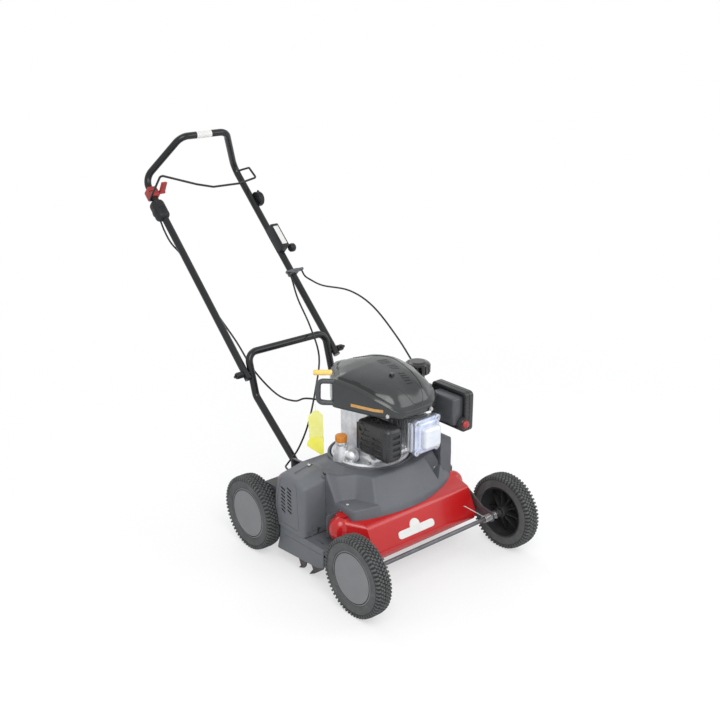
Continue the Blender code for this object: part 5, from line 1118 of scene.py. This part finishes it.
stripIndex = [i for i, p in enumerate(ringPlan) if p[1] < -0.02 and -0.1275 < p[0] < -0.088]
strip = bmesh.new()
lowEdge = [strip.verts.new((ringPlan[i][0] * 1.003, ringPlan[i][1] * 1.003, 0.4625)) for i in stripIndex]
stripEdges = [strip.edges.new(pair) for pair in zip(lowEdge, lowEdge[1:])]
risen = bmesh.ops.extrude_edge_only(strip, edges=stripEdges)["geom"]
bmesh.ops.translate(strip, verts=[v for v in risen if isinstance(v, bmesh.types.BMVert)], vec=(0, 0, 0.0085))
bmesh.ops.solidify(strip, geom=strip.faces[:], thickness=0.0003)
addDetail("shroudStripPlace", byEngine(strip), "orangeSticker", "blower_housing")
buttonAt = surfaceAt((-0.012, -0.072))
button = lathe([(0, 0.0075), (0.006, 0.0071), (0.0072, 0.0055), (0.0072, -0.004), (0, -0.004)], buttonAt, "z", 32)
addDetail("shroudButton", byEngine(button), "glossyBlack", "starter_cover")
shroudBolts = [hexBolt((x, back, 0.4545), 0.005, 0.004, "y", -1) for x, back in ((-0.0845, -0.1375), (0.04, -0.1745))]
addDetail("shroudBolts", byEngine(gathered(*shroudBolts)), "zincSteel", "blower_housing")
# black marks lying on the shroud where its grille slots are: painted shade in the openings
slotShadeMarks = []
for centre, rows, columns in (((0.022, 0.004), 3, 6), ((0.024, -0.034), 3, 5), ((0.018, -0.09), 5, 4)):
    for row in range(rows):
        for column in range(columns):
            x = centre[0] + (column - columns / 2 + 0.5) * 0.005 + row * 0.001
            back = centre[1] + (row - rows / 2 + 0.5) * 0.0095 - column * 0.0012
            slot = softBlock((-0.0012, 0.0012), (-0.0036, 0.0036), (-0.0008, 0.0008), 0.0006, 2)
            turned(slot, -14, "Z")
            slotShadeMarks.append(moved(turned(slot, 8, "X"), surfaceAt(Vector((x, back)))))
addDetail("shroudGrille", byEngine(gathered(*slotShadeMarks)), "glossyBlack", "starter_cover")
print("shroud made")


# tank, cap, air filter, carburettor and primer

tank = softBlock((0.0613, 0.208), (-0.039, 0.111), (0.38, 0.442), 0.018, 6)
fillerAt = (0.176, 0.025)
fillerNeck = drum((*fillerAt, 0.451), 0.022, 0.038, "z", 40)
tank = joined(tank, fillerNeck)
tank = carved(tank, block((0.0, 0.25), (-0.1, 0.2), (0.4098, 0.4106)))
tank = joined(tank, softBlock((0.0618, 0.2075), (-0.0385, 0.1105), (0.402, 0.418), 0.0172, 6, 60,
                              lambda m: 0.405 < m.z < 0.415))
addPiece("fuelTank", byEngine(tank), "shroudPlastic", "fuel_tank", angle=30)
capShape = lathe([(0, 0.506), (0.022, 0.506), (0.026, 0.503), (0.0325, 0.502), (0.0362, 0.498), (0.0362, 0.474),
                  (0.035, 0.4703), (0, 0.4703)], (0, 0, 0), "z", 72)
lobes = [moved(roundEdges(drum((0, 0, 0.485), 0.0044, 0.0265, "z", 14), 0.0012, 2, 60),
               (0.0336 * math.cos(a), 0.0336 * math.sin(a), 0)) for a in [2 * math.pi * n / 16 for n in range(16)]]
addPiece("fuelCap", byEngine(moved(gathered(capShape, *lobes), (*fillerAt, 0))), "glossyBlack", "fuel_cap",
         body="fuel_cap")

filterLook = {"x": (0.146, 0.176), "back": (-0.203, -0.066), "z": (0.362, 0.48)}
boxShape = softBlock(filterLook["x"], filterLook["back"], filterLook["z"], 0.013, 6, 60,
                     lambda m: abs(m.x - 0.161) < 0.001)
roundEdges(boxShape, 0.003, 3, 60)
sideCut = softBlock((0.1, 0.15), (-0.196, -0.073), (0.37, 0.472), 0.01, 4, 60, lambda m: abs(m.x - 0.125) < 0.001)
rimLine = softBlock((0.1585, 0.1605), (-0.205, -0.064), (0.36, 0.482), 0.012, 4, 60,
                    lambda m: abs(m.x - 0.1595) < 0.0005)
innerKeep = softBlock((0.15, 0.17), (-0.2018, -0.0672), (0.3632, 0.4788), 0.012, 4, 60,
                      lambda m: abs(m.x - 0.16) < 0.001)
boxShape = carved(boxShape, sideCut)
boxShape = carved(boxShape, carved(rimLine, innerKeep))
primer = {"x": 0.144, "z": 0.39, "bulb": 0.0121, "bore": 0.0127}
bulbBore = (primer["x"], -0.2, primer["z"]), primer["bore"], 0.025, "y", 40
boxShape = carved(boxShape, drum(*bulbBore))
addPiece("airFilterBox", byEngine(boxShape), "guardBlack", "air_filter_box", angle=30)
snorkel = softBlock((0.112, 0.1515), (-0.19, -0.096), (0.386, 0.467), 0.009, 4)
addDetail("filterBody", byEngine(snorkel), "filterPlastic", "air_filter_box")
primerBase = roundEdges(drum((primer["x"], -0.1935, primer["z"]), 0.019, 0.018, "y", 40), 0.002, 2, 60)
primerBase = carved(primerBase, drum(*bulbBore))
addDetail("primerBase", byEngine(primerBase), "guardBlack", "air_filter_box")
bulbRing = lathe([(0.0125, 0), (0.016, 0), (0.0172, -0.0014), (0.016, -0.003), (0.0125, -0.003)],
                 (primer["x"], -0.2028, primer["z"]), "y", 40, True)
addDetail("primerRing", byEngine(bulbRing), "glossyBlack", "air_filter_box")
bulb = lathe([(0, -0.011), (0.004, -0.0106), (0.0082, -0.0088), (0.0112, -0.0055), (primer["bulb"], -0.001),
              (primer["bulb"], 0), (0, 0)], (primer["x"], -0.2033, primer["z"]), "y", 40)
addPiece("primerBulb", byEngine(bulb), "redPlastic", "primer_bulb", body="primer")
addPiece("carburettorBody", nodeCopy("carburettor", 0.0015, 3), "castMetal", "carburettor", angle=30)
print("tank and filter made")


# cables, running from the handle's controls down to the machine

cableLook = {"radius": 0.0028, "steps": 60}
brakeRoute = [onHandle(-0.1841, 0.5644, -0.004), onHandle(-0.184, 0.53, -0.01), onHandle(-0.176, 0.49, -0.02),
              (-0.158, 0.96, 0.731), (-0.15, 0.83, 0.61), (-0.13, 0.74, 0.52), (-0.12, 0.665, 0.445),
              (-0.115, 0.56, 0.4), (-0.11, 0.48, 0.402), (-0.105, 0.43, 0.424), (-0.07, 0.36, 0.427),
              (-0.045, 0.335, 0.427), (-0.0213, 0.335, 0.427)]
clutchTop = onHandle(0.1416, 0.2845, 0.0175)
clutchRoute = [clutchTop, clutchTop - along * 0.02, (0.12, 0.76, 0.6), (0.09, 0.66, 0.54), (0.045, 0.56, 0.48),
               (-0.01, 0.51, 0.4), (-0.07, 0.47, 0.32), (-0.13, 0.44, 0.27), (-0.185, 0.415, 0.252),
               (-0.205, 0.4, 0.25), (-0.212, 0.3706, 0.25)]
throttleTop = onHandle(0.1936, 0.2845, 0.0175)
throttleRoute = [throttleTop, throttleTop - along * 0.02, (0.2, 0.8, 0.64), (0.205, 0.74, 0.632), (0.215, 0.62, 0.64),
                 (0.225, 0.52, 0.61), (0.238, 0.42, 0.53), (0.24, 0.33, 0.45), (0.236, 0.24, 0.4),
                 (0.2, 0.195, 0.385), (0.1276, 0.1618, 0.384)]
for name, node, route in (("brakeCable", "brake_cable", brakeRoute), ("clutchCable", "clutch_cable", clutchRoute),
                          ("throttleCable", "throttle_cable", throttleRoute)):
    points = [p + Vector((0, axleY, 0)) for p in throughPoints(route, cableLook["steps"])]
    piece = addPiece(name, bar(points, cableLook["radius"], 12), "blackTube", node, body=None, angle=60, offset=False)
    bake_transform(piece)
print("cables made")


# the plain hang tag on the starter loop

tagOutline = softOutline([(-0.006, 0.0), (0.006, 0.0), (0.02, -0.014), (0.022, -0.1), (-0.018, -0.09),
                          (-0.021, -0.016)], 0.004, 4)
upperSheet = moved(turned(slab(tagOutline, -0.0003, 0.0003, "y"), -30, "Z"), (-0.18, 0.052, 0.437))
fanOutline = softOutline([(-0.014, -0.078), (0.02, -0.08), (0.022, -0.128), (0.014, -0.134), (-0.026, -0.104),
                          (-0.024, -0.092)], 0.003, 4)
lowerSheet = moved(turned(slab(fanOutline, -0.0012, -0.0006, "y"), -34, "Z"), (-0.1802, 0.0515, 0.437))
string = bar(throughPoints([(-0.1765, 0.057, 0.4535), (-0.181, 0.052, 0.449), (-0.18, 0.052, 0.4365)], 8), 0.0006, 8)
addDetail("hangTag", byEngine(gathered(upperSheet, string)), "tagPale", "blower_housing")
addDetail("hangTagFold", byEngine(lowerSheet), "tagYellow", "blower_housing")
print("tag made")


# floor, world and lamps

stage = {"radius": 7.0, "centre": (1.0, 1.5), "worldLight": 0.76, "nearGlowShare": 0.55, "nearRing": 1.0, "farRing": 2.3}
floorShape = bmesh.new()
bmesh.ops.create_circle(floorShape, cap_ends=True, segments=256, radius=stage["radius"])
moved(floorShape, (*stage["centre"], -0.0004))
floor = toObject(floorShape, "studioFloor")
# painted glow: camera rays see the floor mixed with a plain white glow, 55 % of it inside the near ring and all of it
# past the far ring, so the floor turns white with distance
floorMaterial = makeFinish("studioFloor", (0.875, 0.875, 0.878), (0.89, 0.89, 0.893), 1.2, 60, 0, (0.55, 0.65))
tree = floorMaterial.node_tree
link = tree.links.new
floorGlow = addNode(tree, "ShaderNodeEmission", {"Strength": 1})
floorRay = addNode(tree, "ShaderNodeLightPath")
share = addNode(tree, "ShaderNodeMath", operation="MULTIPLY")
link(floorRay.outputs["Is Camera Ray"], share.inputs[0])
spread = addNode(tree, "ShaderNodeVectorMath", operation="LENGTH")
link(tree.nodes["Mapping"].outputs["Vector"], spread.inputs[0])
glowByDistance = addRange(tree, (stage["nearRing"], stage["farRing"]), (stage["nearGlowShare"], 1))
glowByDistance.interpolation_type = "SMOOTHSTEP"
link(spread.outputs["Value"], glowByDistance.inputs["Value"])
link(glowByDistance.outputs["Result"], share.inputs[1])
floorMix = addNode(tree, "ShaderNodeMixShader")
for number, part in enumerate((share, tree.nodes["Principled BSDF"], floorGlow)):
    link(part.outputs[0], floorMix.inputs[number])
link(floorMix.outputs[0], tree.nodes["Material Output"].inputs["Surface"])
floor.data.materials.append(floorMaterial)

world = bpy.data.worlds.new("studio")
scene.world = world
world.use_nodes = True
tree = world.node_tree
link = tree.links.new
for node in list(tree.nodes):
    tree.nodes.remove(node)
output = addNode(tree, "ShaderNodeOutputWorld")
seen = addNode(tree, "ShaderNodeBackground", {"Color": (1, 1, 1, 1), "Strength": 1})
light = addNode(tree, "ShaderNodeBackground", {"Color": (0.97, 0.98, 1, 1), "Strength": stage["worldLight"]})
ray = addNode(tree, "ShaderNodeLightPath")
white = ray.outputs["Is Camera Ray"]
for kind in ("Glossy", "Transmission"):
    either = addNode(tree, "ShaderNodeMath", operation="MAXIMUM")
    link(white, either.inputs[0])
    link(ray.outputs[f"Is {kind} Ray"], either.inputs[1])
    white = either.outputs[0]
mix = addNode(tree, "ShaderNodeMixShader")
for number, socket in enumerate((white, light.outputs[0], seen.outputs[0])):
    link(socket, mix.inputs[number])
link(mix.outputs[0], output.inputs["Surface"])

lamps = {"key": {"place": (-1.2, -2.3, 2.7), "size": 2.2, "power": 56},
         "fill": {"place": (2.2, -2.2, 2.0), "size": 2.0, "power": 22},
         "back": {"place": (0.3, 2.6, 2.8), "size": 2.4, "power": 26}}
lampTarget = Vector((0, -0.1, 0.35))
for name, look in lamps.items():
    lamp = bpy.data.lights.new(name, "AREA")
    lamp.shape = "DISK"
    lamp.size = look["size"]
    lamp.energy = look["power"]
    item = bpy.data.objects.new(name, lamp)
    scene.collection.objects.link(item)
    item.location = look["place"]
    item.rotation_euler = (lampTarget - Vector(look["place"])).to_track_quat("-Z", "Y").to_euler()
print("stage made")
